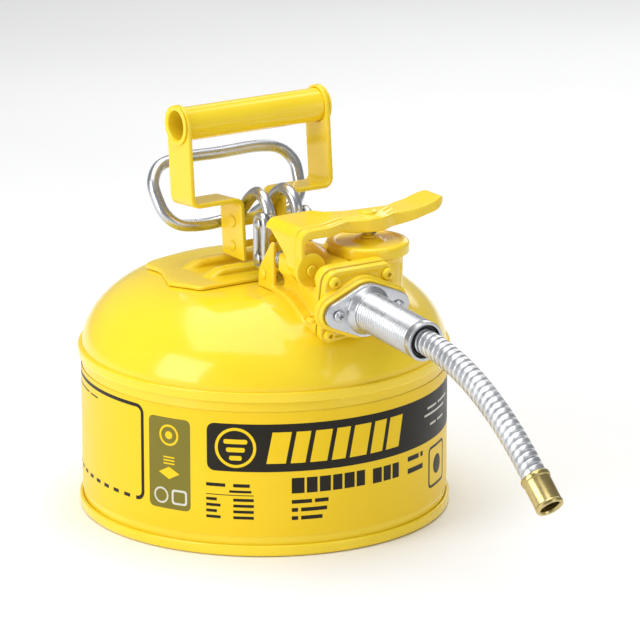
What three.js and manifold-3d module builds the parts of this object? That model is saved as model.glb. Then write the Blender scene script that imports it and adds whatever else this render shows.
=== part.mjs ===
// Safety gas can, one gallon size: a drawn steel can with a carrying handle, a wire trigger,
// a cast manifold with a fill cap and a pour valve, and a flexible metal hose.
// Millimetres, +Z up, origin on the can's axis on the ground. +X is the pouring direction and
// +Y is the direction of the grip and of the lid lever's finger tab.
import * as THREE from 'three';
import { mergeVertices } from 'three/addons/utils/BufferGeometryUtils.js';
import Module from 'manifold-3d';

const wasm = await Module();
wasm.setup();

// ---------------------------------------------------------------- driving dimensions
const GAP = 0.3;                 // clearance between touching pieces
const SEGS = 36;                 // round steps of the can's large turned pieces
const SHEET = 1.0;               // steel sheet of the can

const CAN_R = 118.6;             // outside of the wall
const CHIME_R = 121;             // outside of the rolled seams
const CHIME_TOP = 7.5;           // top of the bottom seam
const SEAM_LOW = 101.5;          // lower edge of the top seam
const SEAM_TOP = 108;            // upper edge of the top seam
const DOME_FLAT_R = 60;          // flat crown of the dome
const DOME_RISE = 47;            // crown above the seam
const DOME_POWER = 1.8;          // fullness of the dome's shoulder
const PAN_PAD_Z = 1.8;           // underside of the bottom's centre pad
const PAN_FLOOR_Z = 4.2;         // underside of the bottom round the pad

const STRAP_W = 26;              // handle strap, along X
const STRAP_T = 3;
const LEG_Y = 16;                // middle of a handle leg
const STRAP_Y = 52.5;            // middle of a handle upright
const LEG_FOOT_Z = 163.7;
const STRAP_BEND_Z = 203;        // middle of the strap between leg and upright
const HANDLE_X = -9.6;           // handle at the foot of its legs
const HANDLE_TILT = THREE.MathUtils.degToRad(5);
const GRIP_Z = 255;
const GRIP_R = 11;
const GRIP_LIP_R = 12.9;
const GRIP_HALF = 56;

const PIVOT_X = -10.4;           // trigger pivot
const PIVOT_Z = 187.5;
const WIRE_R = 3.95;             // trigger wire
const EYE = new THREE.Vector3(23.5, 10.7, 193.5);   // pin that joins trigger and links
const ROCKER = new THREE.Vector3(36.5, 0, 164.5);   // rocker pivot
const LINK_LOW = new THREE.Vector3(23, 0, 170.5);   // pin that joins links and rocker
const LINK_Y = 16.9;
const PIN_R = 2;

const VALVE_TILT = THREE.MathUtils.degToRad(10);    // pour axis of cover plate and valve
const PLATE_POS = new THREE.Vector3(110, 0, 158.5);   // centre of the cover plate's outer face
const PLATE_T = 5;
const SOCKET_TILT = THREE.MathUtils.degToRad(4.2);  // axis of the hose socket
const FLANGE_POS = new THREE.Vector3(122.4, 0, 157);  // centre of the flange's outer face
const FLANGE_T = 3;
const GASKET_T = 0.8;
const SOCKET_LEN = 64;
const SOCKET_R = 12.7;
const SOCKET_BORE = 10.6;
const SCREW_Y = 19.8;            // cover screws
const SCREW_Z = 18;
const FLANGE_SCREW_Y = 22.4;

const FILL = new THREE.Vector3(75, 31, 0);          // axis of the fill neck
const NECK_TOP = 180;
const NECK_R = 22.6;
const NECK_BORE = 18.5;
const CAP_R = 26.4;
const CAP_T = 5.8;
const CAP_Z = 182.3;             // underside of the cap's rim
const HINGE_Y = -21.5;           // lid hinge axis, parallel to X
const HINGE_Z = 178.7;

const HOSE_R = 8;
const FERRULE_R = 9.4;
const FERRULE_LEN = 23;
// middle line of the hose, from the foot of the socket to the ferrule
const HOSE_ROUTE = [
  [123.4, 0, 156.9], [136.4, 0, 156], [149.3, 0, 155], [162.3, 0, 154.1], [174.3, 0, 153.2],
  [186.8, 0, 152.3], [197.6, 0, 151.1], [208.2, 0, 149.1], [218.7, 0, 146.5], [228.9, 0, 143.2],
  [239, 0, 139.3], [248.8, 0, 134.8], [258.3, 0, 129.7], [267.5, 0, 124.2], [276.6, 0, 118.1],
  [285.3, 0, 111.6], [293.6, 0, 104.8], [302, 0, 97.3],
];

// ---------------------------------------------------------------- materials
const paint = (c) => new THREE.MeshStandardMaterial({ color: c, roughness: 0.25, metalness: 0.0 });
const YELLOW = paint(0xf6cf24);
const LABEL = paint(0xefc81e);
const ZINC = new THREE.MeshStandardMaterial({ color: 0xb9bcc0, roughness: 0.32, metalness: 1.0 });
const STEEL = new THREE.MeshStandardMaterial({ color: 0xa9acb0, roughness: 0.28, metalness: 1.0 });
const BRASS = new THREE.MeshStandardMaterial({ color: 0xb08d3c, roughness: 0.35, metalness: 1.0 });
const RUBBER = new THREE.MeshStandardMaterial({ color: 0x1c1c1c, roughness: 0.8, metalness: 0.0 });

// ---------------------------------------------------------------- solids
// Turn a closed geometry into a manifold solid, with its faces pointing out.
function toSolid(geometry) {
  const g = geometry.clone();
  for (const name of Object.keys(g.attributes)) if (name !== 'position') g.deleteAttribute(name);
  const merged = mergeVertices(g, 1e-4);
  const p = merged.attributes.position.array;
  const index = merged.index.array;
  const tris = [];
  let volume = 0;
  const a = new THREE.Vector3();
  const b = new THREE.Vector3();
  const c = new THREE.Vector3();
  for (let i = 0; i < index.length; i += 3) {
    const [i0, i1, i2] = [index[i], index[i + 1], index[i + 2]];
    if (i0 === i1 || i1 === i2 || i2 === i0) continue;
    tris.push(i0, i1, i2);
    volume += a.fromArray(p, 3 * i0).dot(b.fromArray(p, 3 * i1).cross(c.fromArray(p, 3 * i2)));
  }
  if (volume < 0) for (let i = 0; i < tris.length; i += 3) [tris[i], tris[i + 1]] = [tris[i + 1], tris[i]];
  return new wasm.Manifold(new wasm.Mesh({
    numProp: 3, vertProperties: new Float32Array(p), triVerts: new Uint32Array(tris),
  }));
}

function toGeometry(solid) {
  const m = solid.getMesh();
  const g = new THREE.BufferGeometry();
  g.setAttribute('position', new THREE.BufferAttribute(new Float32Array(m.vertProperties), 3));
  g.setIndex(new THREE.BufferAttribute(new Uint32Array(m.triVerts), 1));
  g.computeVertexNormals();
  return g;
}

const union = (...parts) => parts.reduce((whole, part) => whole.add(part));

// A turned solid about +Z from [radius, height] points.
function turned(profile, segs = 24) {
  const points = profile.map(([r, z]) => new THREE.Vector2(r, z));
  if (profile[0][0] > 0) points.push(points[0].clone());
  return new THREE.LatheGeometry(points, segs).rotateX(Math.PI / 2);
}

const rod = (r, z0, z1, segs = 24) => turned([[0, z0], [r, z0], [r, z1], [0, z1]], segs);
const tube = (r0, r1, z0, z1, segs = 24) => turned([[r0, z0], [r1, z0], [r1, z1], [r0, z1]], segs);

// An outline in XY, pushed up from z0 to z1.
function slab(outline, z0, z1) {
  const shape = new THREE.Shape(outline.map(([x, y]) => new THREE.Vector2(x, y)));
  return new THREE.ExtrudeGeometry(shape, { depth: z1 - z0, bevelEnabled: false, steps: 1 })
    .translate(0, 0, z0);
}

// An outline in YZ, pushed from x0 to x1; and one in XZ, pushed from y0 to y1.
const slabX = (outline, x0, x1) => slab(outline, x0, x1)
  .applyMatrix4(new THREE.Matrix4().set(0, 0, 1, 0, 1, 0, 0, 0, 0, 1, 0, 0, 0, 0, 0, 1));
const slabY = (outline, y0, y1) => slab(outline, -y1, -y0).rotateX(Math.PI / 2);

// Round off the corners of a polyline or outline with arcs of `radius`.
function rounded(points, radius, steps = 5, closed = true) {
  const out = [];
  const n = points.length;
  points.forEach((point, i) => {
    if (!closed && (i === 0 || i === n - 1)) { out.push(point); return; }
    const p = new THREE.Vector3(...point);
    const before = new THREE.Vector3(...points[(i + n - 1) % n]).sub(p);
    const after = new THREE.Vector3(...points[(i + 1) % n]).sub(p);
    const half = before.angleTo(after) / 2;
    const r = Array.isArray(radius) ? radius[i] : radius;
    const reach = Math.min(r / Math.tan(half), before.length() * 0.499, after.length() * 0.499);
    const fit = reach * Math.tan(half);
    if (r === 0 || half > 1.5) { out.push(point); return; }
    const start = p.clone().addScaledVector(before.normalize(), reach);
    const end = p.clone().addScaledVector(after.normalize(), reach);
    const centre = p.clone().addScaledVector(before.clone().add(after).normalize(), fit / Math.sin(half));
    for (let k = 0; k <= steps; k += 1) {
      const v = start.clone().sub(centre).lerp(end.clone().sub(centre), k / steps);
      const angle = Math.PI - 2 * half;
      const t = (k / steps) * angle;
      const u = start.clone().sub(centre).multiplyScalar(Math.sin(angle - t) / Math.sin(angle))
        .addScaledVector(end.clone().sub(centre), Math.sin(t) / Math.sin(angle));
      out.push((Number.isFinite(u.x) ? u : v).add(centre).toArray().slice(0, point.length));
    }
  });
  return out;
}

// A round bar along a curve through the points.
function bar(points, radius, steps, sides = 10, closed = false) {
  const curve = new THREE.CatmullRomCurve3(points.map((q) => new THREE.Vector3(...q)), closed,
    'centripetal');
  const section = new THREE.Shape();
  for (let i = 0; i < sides; i += 1) {
    const t = (2 * Math.PI * (i + 0.5)) / sides;
    const method = i === 0 ? 'moveTo' : 'lineTo';
    section[method](radius * Math.cos(t), radius * Math.sin(t));
  }
  section.closePath();
  return new THREE.ExtrudeGeometry(section, { steps, extrudePath: curve, bevelEnabled: false });
}

// A coil spring about +Z.
function coil(radius, wire, z0, z1, turns, perTurn = 9) {
  const points = [];
  for (let i = 0; i <= turns * perTurn; i += 1) {
    const t = (2 * Math.PI * i) / perTurn;
    points.push([radius * Math.cos(t), radius * Math.sin(t), z0 + ((z1 - z0) * i) / (turns * perTurn)]);
  }
  return bar(points, wire, turns * perTurn, 5);
}

// Frames whose local +Z is the pour axis: local +X is down across it and local Y stays Y.
function pourFrame(position, tilt) {
  return new THREE.Matrix4().makeRotationY(Math.PI / 2 + tilt).setPosition(position);
}
const plateFrame = pourFrame(PLATE_POS, VALVE_TILT);
const socketFrame = pourFrame(FLANGE_POS, SOCKET_TILT);

const group = new THREE.Group();
function add(name, solid, material) {
  const mesh = new THREE.Mesh(toGeometry(solid), material);
  mesh.name = name;
  group.add(mesh);
}
const S = toSolid;

// ---------------------------------------------------------------- can
// Outside height of the dome, raised by `offset`.
function domeZ(r, offset = 0) {
  if (r <= DOME_FLAT_R) return SEAM_TOP + DOME_RISE + offset;
  const s = Math.min((r - DOME_FLAT_R) / (CAN_R - 0.1 - DOME_FLAT_R), 1);
  return SEAM_TOP + DOME_RISE * (1 - s ** DOME_POWER) ** (1 / DOME_POWER) + offset;
}
const DOME_RADII = [CAN_R - 0.1, 118, 115, 108.5, 98, 82, DOME_FLAT_R];

// The solid under the dome's outside, offset outwards.
function domeBody(offset) {
  const side = DOME_RADII.map((r) => [r + offset, domeZ(r, offset)]);
  side[0][1] = SEAM_TOP + offset;
  return S(turned([[0, SEAM_LOW], [CHIME_R + offset, SEAM_LOW], [CHIME_R + offset, SEAM_TOP], ...side,
    [0, domeZ(0, offset)]], SEGS));
}

add('body_shell', S(tube(CAN_R - SHEET, CAN_R, CHIME_TOP - 1, SEAM_LOW + 1.2, SEGS)), YELLOW);

add('bottom_pan', S(turned([
  [0, PAN_PAD_Z], [66, PAN_PAD_Z], [70, PAN_FLOOR_Z], [111, PAN_FLOOR_Z], [115.4, 0], [119.8, 0],
  [CHIME_R, 1.4], [CHIME_R, 6.2], [119.8, CHIME_TOP], [CAN_R + 0.2, CHIME_TOP],
  [CAN_R + 0.2, CHIME_TOP - 1.3], [CAN_R - SHEET - 0.3, CHIME_TOP - 1.3],
  [CAN_R - SHEET - 0.3, 3], [112.3, PAN_FLOOR_Z + SHEET], [69.5, PAN_FLOOR_Z + SHEET],
  [65.5, PAN_PAD_Z + SHEET], [0, PAN_PAD_Z + SHEET]], SEGS)), YELLOW);

const POUR_HOLE = [66, 0];
const VENT = [86, -9];
const domeInside = DOME_RADII.filter((r, i) => i !== 1 && i !== 3 && r > DOME_FLAT_R)
  .map((r) => [r - 1.4, domeZ(r, -1.3)]).reverse();
domeInside[domeInside.length - 1] = [CAN_R - SHEET - 0.5, SEAM_LOW + 1.5];
add('dome_top', S(turned([
  [0, domeZ(0)], [DOME_FLAT_R, domeZ(0)], ...DOME_RADII.slice(1, -1).reverse().map((r) => [r, domeZ(r)]),
  [CAN_R - 0.1, SEAM_TOP], [119.8, SEAM_TOP], [CHIME_R, 106.6], [CHIME_R, 102.8],
  [119.8, SEAM_LOW], [CAN_R + 0.2, SEAM_LOW], [CAN_R + 0.2, SEAM_LOW + 1.5],
  ...domeInside.reverse(), [DOME_FLAT_R - 1, domeZ(0, -SHEET)], [0, domeZ(0, -SHEET)]], SEGS))
  .subtract(S(rod(12.6, 140, 160, 24).translate(POUR_HOLE[0], POUR_HOLE[1], 0)))
  .subtract(S(rod(3.9, 120, 165, 12).translate(VENT[0], VENT[1], 0)))
  .subtract(S(rod(16, 120, 165, 32).translate(FILL.x, FILL.y, 0))), YELLOW);

// Printed wrap on the front half of the wall.
const LABEL_FACETS = 19;         // facets of the wall that the label covers
const LABEL_START = -4;          // first facet, counted from the -Y side
const LABEL_LOW = 13;
const LABEL_TOP = 95;
{
  const step = (2 * Math.PI) / SEGS;
  const arc = (r) => Array.from({ length: LABEL_FACETS + 1 }, (unused, i) => {
    const t = -Math.PI / 2 + (LABEL_START + i) * step;
    return [r * Math.cos(t), r * Math.sin(t)];
  });
  const sheet = slab([...arc(CAN_R + 0.35), ...arc(CAN_R + 0.75).reverse()], LABEL_LOW, LABEL_TOP);
  add('label_sheet', S(sheet), LABEL);
}

// ---------------------------------------------------------------- handle
{
  const plate = S(slab([[-56, -58], [-28, -61], [-10, -68], [-2, -71], [22, -61], [22, 61], [-2, 71],
    [-10, 68], [-28, 61], [-56, 58]], 120, 170));
  const layer = domeBody(2.8).subtract(domeBody(GAP));
  const armPath = rounded([[-46, 155], [-33, 161.4], [33, 161.4], [46, 155]], 10, 4, false);
  const arm = (x0) => {
    const lower = armPath.map(([y, z]) => [y, z - 2]);
    const upper = armPath.map(([y, z]) => [y, z + 2]);
    return S(slabX([...upper, ...lower.reverse()], x0 - 4.5, x0 + 4.5));
  };
  const window = S(slab([[-18, -27], [-4, -27], [-4, 27], [-18, 27]], 100, 175));
  const bracket = plate.intersect(layer).subtract(window)
    .add(union(arm(2), arm(-23)).subtract(domeBody(GAP)));
  add('handle_bracket', bracket, YELLOW);
}

// One side of the handle: foot, leg, step out, upright and the round eye for the grip.
function strapSide(side) {
  const half = STRAP_T / 2;
  const top = GRIP_Z - 6;
  const foot = LEG_FOOT_Z - 3;
  const offset = (d) => rounded([[LEG_Y - d, foot], [LEG_Y - d, STRAP_BEND_Z + d],
    [STRAP_Y - d, STRAP_BEND_Z + d], [STRAP_Y - d, top]], [0, 5 + d, 5 - d, 0], 3, false);
  const outline = [...offset(half), ...offset(-half).reverse()].map(([y, z]) => [side * y, z]);
  const strap = S(slabX(outline, -STRAP_W / 2, STRAP_W / 2));
  const eye = S(slabY(roundTop(STRAP_W / 2, top - 1), STRAP_Y - half, STRAP_Y + half)
    .scale(1, side, 1));
  const bore = S(tiltRod(GRIP_R + 0.25, side * (STRAP_Y - 4), side * (STRAP_Y + 4)));
  return strap.add(eye).subtract(bore);
}
// Outline in XZ: straight from z0 and round about the grip axis.
function roundTop(r, z0) {
  const out = [[r, z0]];
  for (let i = 0; i <= 10; i += 1) {
    const t = (Math.PI * i) / 10;
    out.push([r * Math.cos(t), GRIP_Z + r * Math.sin(t)]);
  }
  out.push([-r, z0]);
  return out;
}
// A rod along Y about the grip axis, in the handle's own frame.
function tiltRod(r, y0, y1) {
  const [a, b] = [Math.min(y0, y1), Math.max(y0, y1)];
  return rod(r, a, b, 20).rotateX(-Math.PI / 2).translate(0, 0, GRIP_Z);
}
// The handle leans back about the line where its legs stand.
const lean = new THREE.Matrix4().makeTranslation(HANDLE_X, 0, LEG_FOOT_Z)
  .multiply(new THREE.Matrix4().makeRotationY(-HANDLE_TILT))
  .multiply(new THREE.Matrix4().makeTranslation(0, 0, -LEG_FOOT_Z));
const leaned = (solid) => S(toGeometry(solid).applyMatrix4(lean));
const crossHole = (x, z, r) => S(rod(r, -60, 60, 16).rotateX(Math.PI / 2).translate(x, 0, z));
const SPACER = { x: HANDLE_X - 0.5, z: 171.5, r: 2.2 };
const PIVOT_ROD_R = 2.4;

for (const [name, side] of [['handle_strap_left', -1], ['handle_strap_right', 1]]) {
  add(name, leaned(strapSide(side)).subtract(S(rod(80, 150, LEG_FOOT_Z)))
    .subtract(crossHole(PIVOT_X, PIVOT_Z, PIVOT_ROD_R + 0.2))
    .subtract(crossHole(SPACER.x, SPACER.z, SPACER.r + 0.2)), YELLOW);
}

{
  const lip = STRAP_Y + STRAP_T / 2 + GAP;
  const half = [[GRIP_R, lip], [GRIP_LIP_R, lip + 0.4], [GRIP_LIP_R, GRIP_HALF - 0.8],
    [GRIP_LIP_R - 0.8, GRIP_HALF], [GRIP_R - 1.6, GRIP_HALF - 1.4]];
  const other = half.map(([r, z]) => [r, -z]).reverse();
  const grip = S(turned([...half, ...other], 20).rotateX(-Math.PI / 2).translate(0, 0, GRIP_Z));
  add('grip_tube', leaned(grip), YELLOW);
}

// A pin along Y with a head at both ends.
function pinY(r, y0, y1, headR, headT, segs = 12) {
  return turned([[0, y0 - headT], [headR * 0.8, y0 - headT], [headR, y0], [r, y0], [r, y1], [headR, y1],
    [headR * 0.8, y1 + headT], [0, y1 + headT]], segs).rotateX(-Math.PI / 2);
}
const LEG_OUT = LEG_Y + STRAP_T / 2 + GAP;
add('trigger_pivot_rod', S(pinY(PIVOT_ROD_R, -LEG_OUT, LEG_OUT, 4, 1.6)
  .translate(PIVOT_X, 0, PIVOT_Z)), YELLOW);
add('handle_spacer_rod', S(pinY(SPACER.r, -LEG_OUT, LEG_OUT, 3.6, 1.4)
  .translate(SPACER.x, 0, SPACER.z)), YELLOW);

// ---------------------------------------------------------------- trigger and linkage
const SLEEVE_R = 3.9;
{
  // half of the wire on the +Y side, from the middle of the loop's top run to the eye
  const half = [
    [-55, 0, 221.5], [-55, 34, 221.5], [-53, 47, 218.4], [-48.2, 54, 209.8], [-43, 54, 200.4],
    [-37.5, 51.5, 191], [-33.6, 44, 184.4], [-32.2, 32, 182.1], [-32, 20, 181.8], [-30.2, 12, 183],
    [-25, 9.5, 186], [-17.5, 9.4, 190.6], [-10, 9.4, 195.5], [-1, 9.7, 204.2], [8, 10, 209.6],
    [16.5, 10.4, 208], [22, 10.6, 201.6], [EYE.x - 0.1, EYE.y, 196.6]];
  const path = [...half.slice(1).reverse().map(([x, y, z]) => [x, -y, z]), ...half];
  const wire = S(bar(path, WIRE_R, 50, 8));
  const eye = (side) => S(slabY(rounded([[-3.9, 5.5], [3.9, 5.5], [3.9, -4.6], [-3.9, -4.6]], 3.6, 3),
    -2, 2).translate(EYE.x, side * EYE.y, EYE.z));
  const hole = S(rod(PIN_R + 0.2, -30, 30, 16).rotateX(Math.PI / 2).translate(EYE.x, 0, EYE.z));
  const sleeveSeat = S(rod(SLEEVE_R + GAP, -15, 15, 20).rotateX(Math.PI / 2)
    .translate(PIVOT_X, 0, PIVOT_Z));
  add('trigger_wire', union(wire, eye(-1), eye(1)).subtract(hole).subtract(sleeveSeat), ZINC);
}
add('trigger_sleeve', S(tube(PIVOT_ROD_R + GAP, SLEEVE_R, -14, 14, 20).rotateX(Math.PI / 2)
  .translate(PIVOT_X, 0, PIVOT_Z)), YELLOW);

const LINK_WIRE = 2.5;
const LINK_HEAD = LINK_Y + LINK_WIRE + GAP;
add('link_pin_upper', S(pinY(PIN_R, -LINK_HEAD, LINK_HEAD, 3.4, 1.2)
  .translate(EYE.x, 0, EYE.z)), STEEL);

// A closed wire link round both pins.
function linkSolid(side) {
  const inner = PIN_R + 0.5 + LINK_WIRE;
  const points = [];
  const length = EYE.z - LINK_LOW.z;
  for (let i = 0; i <= 6; i += 1) {
    const t = (Math.PI * i) / 6;
    points.push([inner * Math.cos(t), 0, length + inner * Math.sin(t)]);
  }
  points.push([-inner * 0.92, 0, length * 0.5]);
  for (let i = 0; i <= 6; i += 1) {
    const t = Math.PI + (Math.PI * i) / 6;
    points.push([inner * Math.cos(t), 0, inner * Math.sin(t)]);
  }
  points.push([inner * 0.92, 0, length * 0.5]);
  const turn = Math.atan2(EYE.x - LINK_LOW.x, length);
  return S(bar(points, LINK_WIRE, 26, 6, true).rotateY(turn)
    .translate(LINK_LOW.x, side * LINK_Y, LINK_LOW.z));
}
add('link_left', linkSolid(-1), ZINC);
add('link_right', linkSolid(1), ZINC);
add('link_pin_lower', S(pinY(PIN_R, -LINK_HEAD, LINK_HEAD, 3.4, 1.2)
  .translate(LINK_LOW.x, 0, LINK_LOW.z)), STEEL);

// Point on the valve axis at a distance behind the cover plate's outer face.
const onAxis = (d) => new THREE.Vector3(-d, 0, 0).applyAxisAngle(new THREE.Vector3(0, 1, 0), VALVE_TILT)
  .add(PLATE_POS);
const STEM_END = (PLATE_POS.x - ROCKER.x) / Math.cos(VALVE_TILT);   // stem pin behind the plate face
const STEM_PIN = onAxis(STEM_END);
const ROCKER_ARM_Y = 10.7;
{
  const hub = S(rod(3.5, -12.7, 12.7, 20).rotateX(Math.PI / 2).translate(ROCKER.x, 0, ROCKER.z));
  const sideArm = (side) => S(slabY(rounded([[LINK_LOW.x - 4, LINK_LOW.z - 4], [LINK_LOW.x - 4,
    LINK_LOW.z + 4], [LINK_LOW.x + 6, LINK_LOW.z + 4], [ROCKER.x + 3.6, ROCKER.z + 3.6],
  [ROCKER.x + 3.6, ROCKER.z - 3.6], [ROCKER.x - 6, ROCKER.z - 3.6]], 3.4, 3),
  side * ROCKER_ARM_Y - 2, side * ROCKER_ARM_Y + 2));
  const fork = (side) => S(slabY([[ROCKER.x - 3.4, ROCKER.z], [ROCKER.x - 3.4, STEM_PIN.z + 3.6],
    [ROCKER.x + 3.4, STEM_PIN.z + 3.6], [ROCKER.x + 3.4, ROCKER.z]], side * 5 - 1.5, side * 5 + 1.5));
  const slot = S(slabY([[ROCKER.x - 1.9, STEM_PIN.z - 3.2], [ROCKER.x - 1.9, STEM_PIN.z + 5],
    [ROCKER.x + 1.9, STEM_PIN.z + 5], [ROCKER.x + 1.9, STEM_PIN.z - 3.2]], -10, 10));
  const pivotHole = S(rod(PIN_R + GAP, -40, 40, 16).rotateX(Math.PI / 2)
    .translate(ROCKER.x, 0, ROCKER.z));
  const pinHole = S(rod(PIN_R + 0.2, -40, 40, 16).rotateX(Math.PI / 2)
    .translate(LINK_LOW.x, 0, LINK_LOW.z));
  add('rocker', union(hub, sideArm(-1), sideArm(1), fork(-1), fork(1)).subtract(slot)
    .subtract(pivotHole).subtract(pinHole), STEEL);
}
const EAR_Y0 = 20.8;             // inner face of the manifold's ears
const EAR_Y1 = 23.6;
add('rocker_pin', S(pinY(PIN_R, -EAR_Y1 - GAP, EAR_Y1 + GAP, 3.6, 1.2)
  .translate(ROCKER.x, 0, ROCKER.z)), STEEL);

// ---------------------------------------------------------------- manifold
const CHAMBER_R = 17;             // round the valve disc
const THROAT_R = 13.5;           // round the stem and its spring
const THROAT_FRONT = 26;
const CHAMBER_BACK = 62;         // rear wall of the pour chamber, behind the cover plate's face
const LEDGE_Z = 160;             // ledge in the fill neck that carries the arrester
const LUG_X0 = 60;               // manifold's hinge lug, behind the lever's knuckle
const LUG_X1 = 73.6;
const SKIRT_T = 3.6;             // foot of the manifold, above the dome
const BASE_SCREWS = [[96, -25], [97, 46], [64, 53.5]];
// Spot face of a base screw, level with the foot's upper side at the edge nearest the axis.
const screwSeat = (x, y) => domeZ(Math.hypot(x, y) - 5, SKIRT_T);
const COVER_SCREWS = [[-1, -1], [-1, 1], [1, -1], [1, 1]];

// A rod along the pour axis, between two distances in front of the cover plate's face.
const axisRod = (r, d0, d1, segs = 24) => rod(r, d0, d1, segs).applyMatrix4(plateFrame);
const rodY = (r, y0, y1, x, z, segs = 16) => rod(r, y0, y1, segs).rotateX(-Math.PI / 2)
  .translate(x, 0, z);
// A rectangle with round corners in the cover plate's frame.
const platePad = (halfY, halfX, d0, d1, r) => slab(rounded(
  [[-halfX, -halfY], [halfX, -halfY], [halfX, halfY], [-halfX, halfY]], r, 3), d0, d1)
  .applyMatrix4(plateFrame);

function manifoldOutside() {
  const padBack = PLATE_T + 2 * GAP + GASKET_T;
  const pad = S(platePad(26, 24.5, -padBack - 7, -padBack, 8));
  const chamber = S(turned([[0, -CHAMBER_BACK - 5], [13, -CHAMBER_BACK - 5],
    [16.5, -CHAMBER_BACK - 2], [17.5, -42], [19.5, -THROAT_FRONT], [21.5, -padBack - 3],
    [0, -padBack - 3]], 20).applyMatrix4(plateFrame));
  const skirt = S(slab(rounded([[31, -22], [92, -30], [104, -20], [104, 40], [92, 56], [58, 58],
    [31, 22]], 8, 2), 125, 158.5)).intersect(domeBody(SKIRT_T));
  const body = S(slab(rounded([[46, -17], [100, -22], [100, 40], [84, 50], [60, 48], [46, 17]], 9, 2),
    130, 166)).intersect(domeBody(13));
  const neck = S(turned([[0, 130], [20.5, 130], [NECK_R - 0.6, 160], [NECK_R, NECK_TOP - 2],
    [NECK_R + 1.4, NECK_TOP - 1], [NECK_R + 1.4, NECK_TOP], [0, NECK_TOP]], 24)
    .translate(FILL.x, FILL.y, 0));
  const lug = S(slabX(rounded([[-27.5, HINGE_Z - 6], [-27.5, HINGE_Z + 6], [-15.5, HINGE_Z + 6],
    [2, 168], [2, 158], [-14, 158]], 4, 3), LUG_X0, LUG_X1));
  const ears = [-1, 1].map((side) => {
    const [y0, y1] = side < 0 ? [-EAR_Y1, -EAR_Y0] : [EAR_Y0, EAR_Y1];
    return S(slabY([[29.5, 153], [30.5, 166.5], [45.2, 187.5], [48.6, 186], [48.6, 153]], y0, y1));
  });
  return union(pad, chamber, skirt, body, neck, lug, ...ears);
}

function manifoldBody() {
  const alongHinge = (r, x0, x1) => S(rod(r, x0, x1, 20).rotateY(Math.PI / 2)
    .translate(0, HINGE_Y, HINGE_Z));
  const cuts = [
    domeBody(GAP),
    S(platePad(60, 60, -PLATE_T - 2 * GAP - GASKET_T, 60, 8)),
    S(rod(3.9, 120, 165, 12).translate(VENT[0], VENT[1], 0)),
    // room round the neck for the cap, and round the hinge for the lever's knuckles
    S(rod(CAP_R + 1.2, NECK_TOP, 200, 20).translate(FILL.x, FILL.y, 0)),
    alongHinge(8.4, 49, LUG_X0), alongHinge(8.5, LUG_X1, 100), alongHinge(11.4, 86, 100),
    S(axisRod(CHAMBER_R, -THROAT_FRONT, 10, 20)),
    S(axisRod(THROAT_R, -CHAMBER_BACK, -THROAT_FRONT + 1, 16)),
    S(axisRod(3.6, -CHAMBER_BACK - 12, 0, 12)),
    S(turned([[0, 120], [15.6, 120], [15.6, LEDGE_Z], [NECK_BORE, LEDGE_Z],
      [NECK_BORE, NECK_TOP + 5], [0, NECK_TOP + 5]], 20).translate(FILL.x, FILL.y, 0)),
    alongHinge(2.9, LUG_X0 - 2, LUG_X1 + 2),
    S(rodY(PIN_R + 0.2, -40, 40, ROCKER.x, ROCKER.z)),
    S(rod(15.2, 140, 160, 16).translate(POUR_HOLE[0], POUR_HOLE[1], 0)),
    // the well in front of the rear wall, where the rocker turns
    S(slabY([[20, 158.9], [20, 190], [onAxis(CHAMBER_BACK + 5).x, 190],
      [onAxis(CHAMBER_BACK + 5).x, 158.9]], -EAR_Y0, EAR_Y0)),
    ...COVER_SCREWS.map(([y, z]) => S(rod(1.9, -16, 0, 8)
      .translate(-z * SCREW_Z, y * SCREW_Y, 0).applyMatrix4(plateFrame))),
    ...BASE_SCREWS.map(([x, y]) => S(rod(5.2, screwSeat(x, y), 175, 12).translate(x, y, 0))),
    ...BASE_SCREWS.map(([x, y]) => S(rod(2.2, 120, 170, 8).translate(x, y, 0))),
  ];
  return cuts.reduce((whole, cut) => whole.subtract(cut), manifoldOutside());
}
add('manifold_body', manifoldBody(), YELLOW);

// Pan-head screw along +Z: its head stands on z = 0 and has a round socket.
function screw(r, length, headR, headT) {
  return turned([[0, -length], [r, -length], [r, 0], [headR, 0], [headR, headT * 0.5],
    [headR * 0.75, headT], [headR * 0.35, headT], [0, headT * 0.5]], 8);
}
BASE_SCREWS.forEach(([x, y], i) => {
  add(`base_screw_${i + 1}`, S(screw(1.8, 3, 4, 2.6).translate(x, y, screwSeat(x, y) + GAP)), YELLOW);
});

// ---------------------------------------------------------------- pour side
const FLANGE_SEAT = -(FLANGE_T + 2 * GAP + GASKET_T);   // front of the cover plate's boss

// Oval outline of the two-bolt flange: a large arc in the middle and a small one round each screw.
function flangeOutline(grow) {
  const [big, small] = [17.5 + grow, 8.6 + grow];
  const tangent = Math.acos((big - small) / FLANGE_SCREW_Y);
  const arc = (r, cy, from, to, steps) => Array.from({ length: steps + 1 }, (unused, i) => {
    const t = from + ((to - from) * i) / steps;
    return [r * Math.sin(t), cy + r * Math.cos(t)];
  });
  return [...arc(small, FLANGE_SCREW_Y, -tangent, tangent, 6),
    ...arc(big, 0, tangent, Math.PI - tangent, 6).slice(1, -1),
    ...arc(small, -FLANGE_SCREW_Y, Math.PI - tangent, Math.PI + tangent, 6),
    ...arc(big, 0, Math.PI + tangent, 2 * Math.PI - tangent, 6).slice(1, -1)];
}
const coverHoles = (r, d0, d1) => COVER_SCREWS.map(([y, z]) => S(rod(r, d0, d1, 8)
  .translate(-z * SCREW_Z, y * SCREW_Y, 0).applyMatrix4(plateFrame)));
const flangeHoles = (r, d0, d1) => [-1, 1].map((side) => S(rod(r, d0, d1, 8)
  .translate(0, side * FLANGE_SCREW_Y, 0).applyMatrix4(socketFrame)));
const drilled = (solid, holes) => holes.reduce((whole, hole) => whole.subtract(hole), solid);

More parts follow.
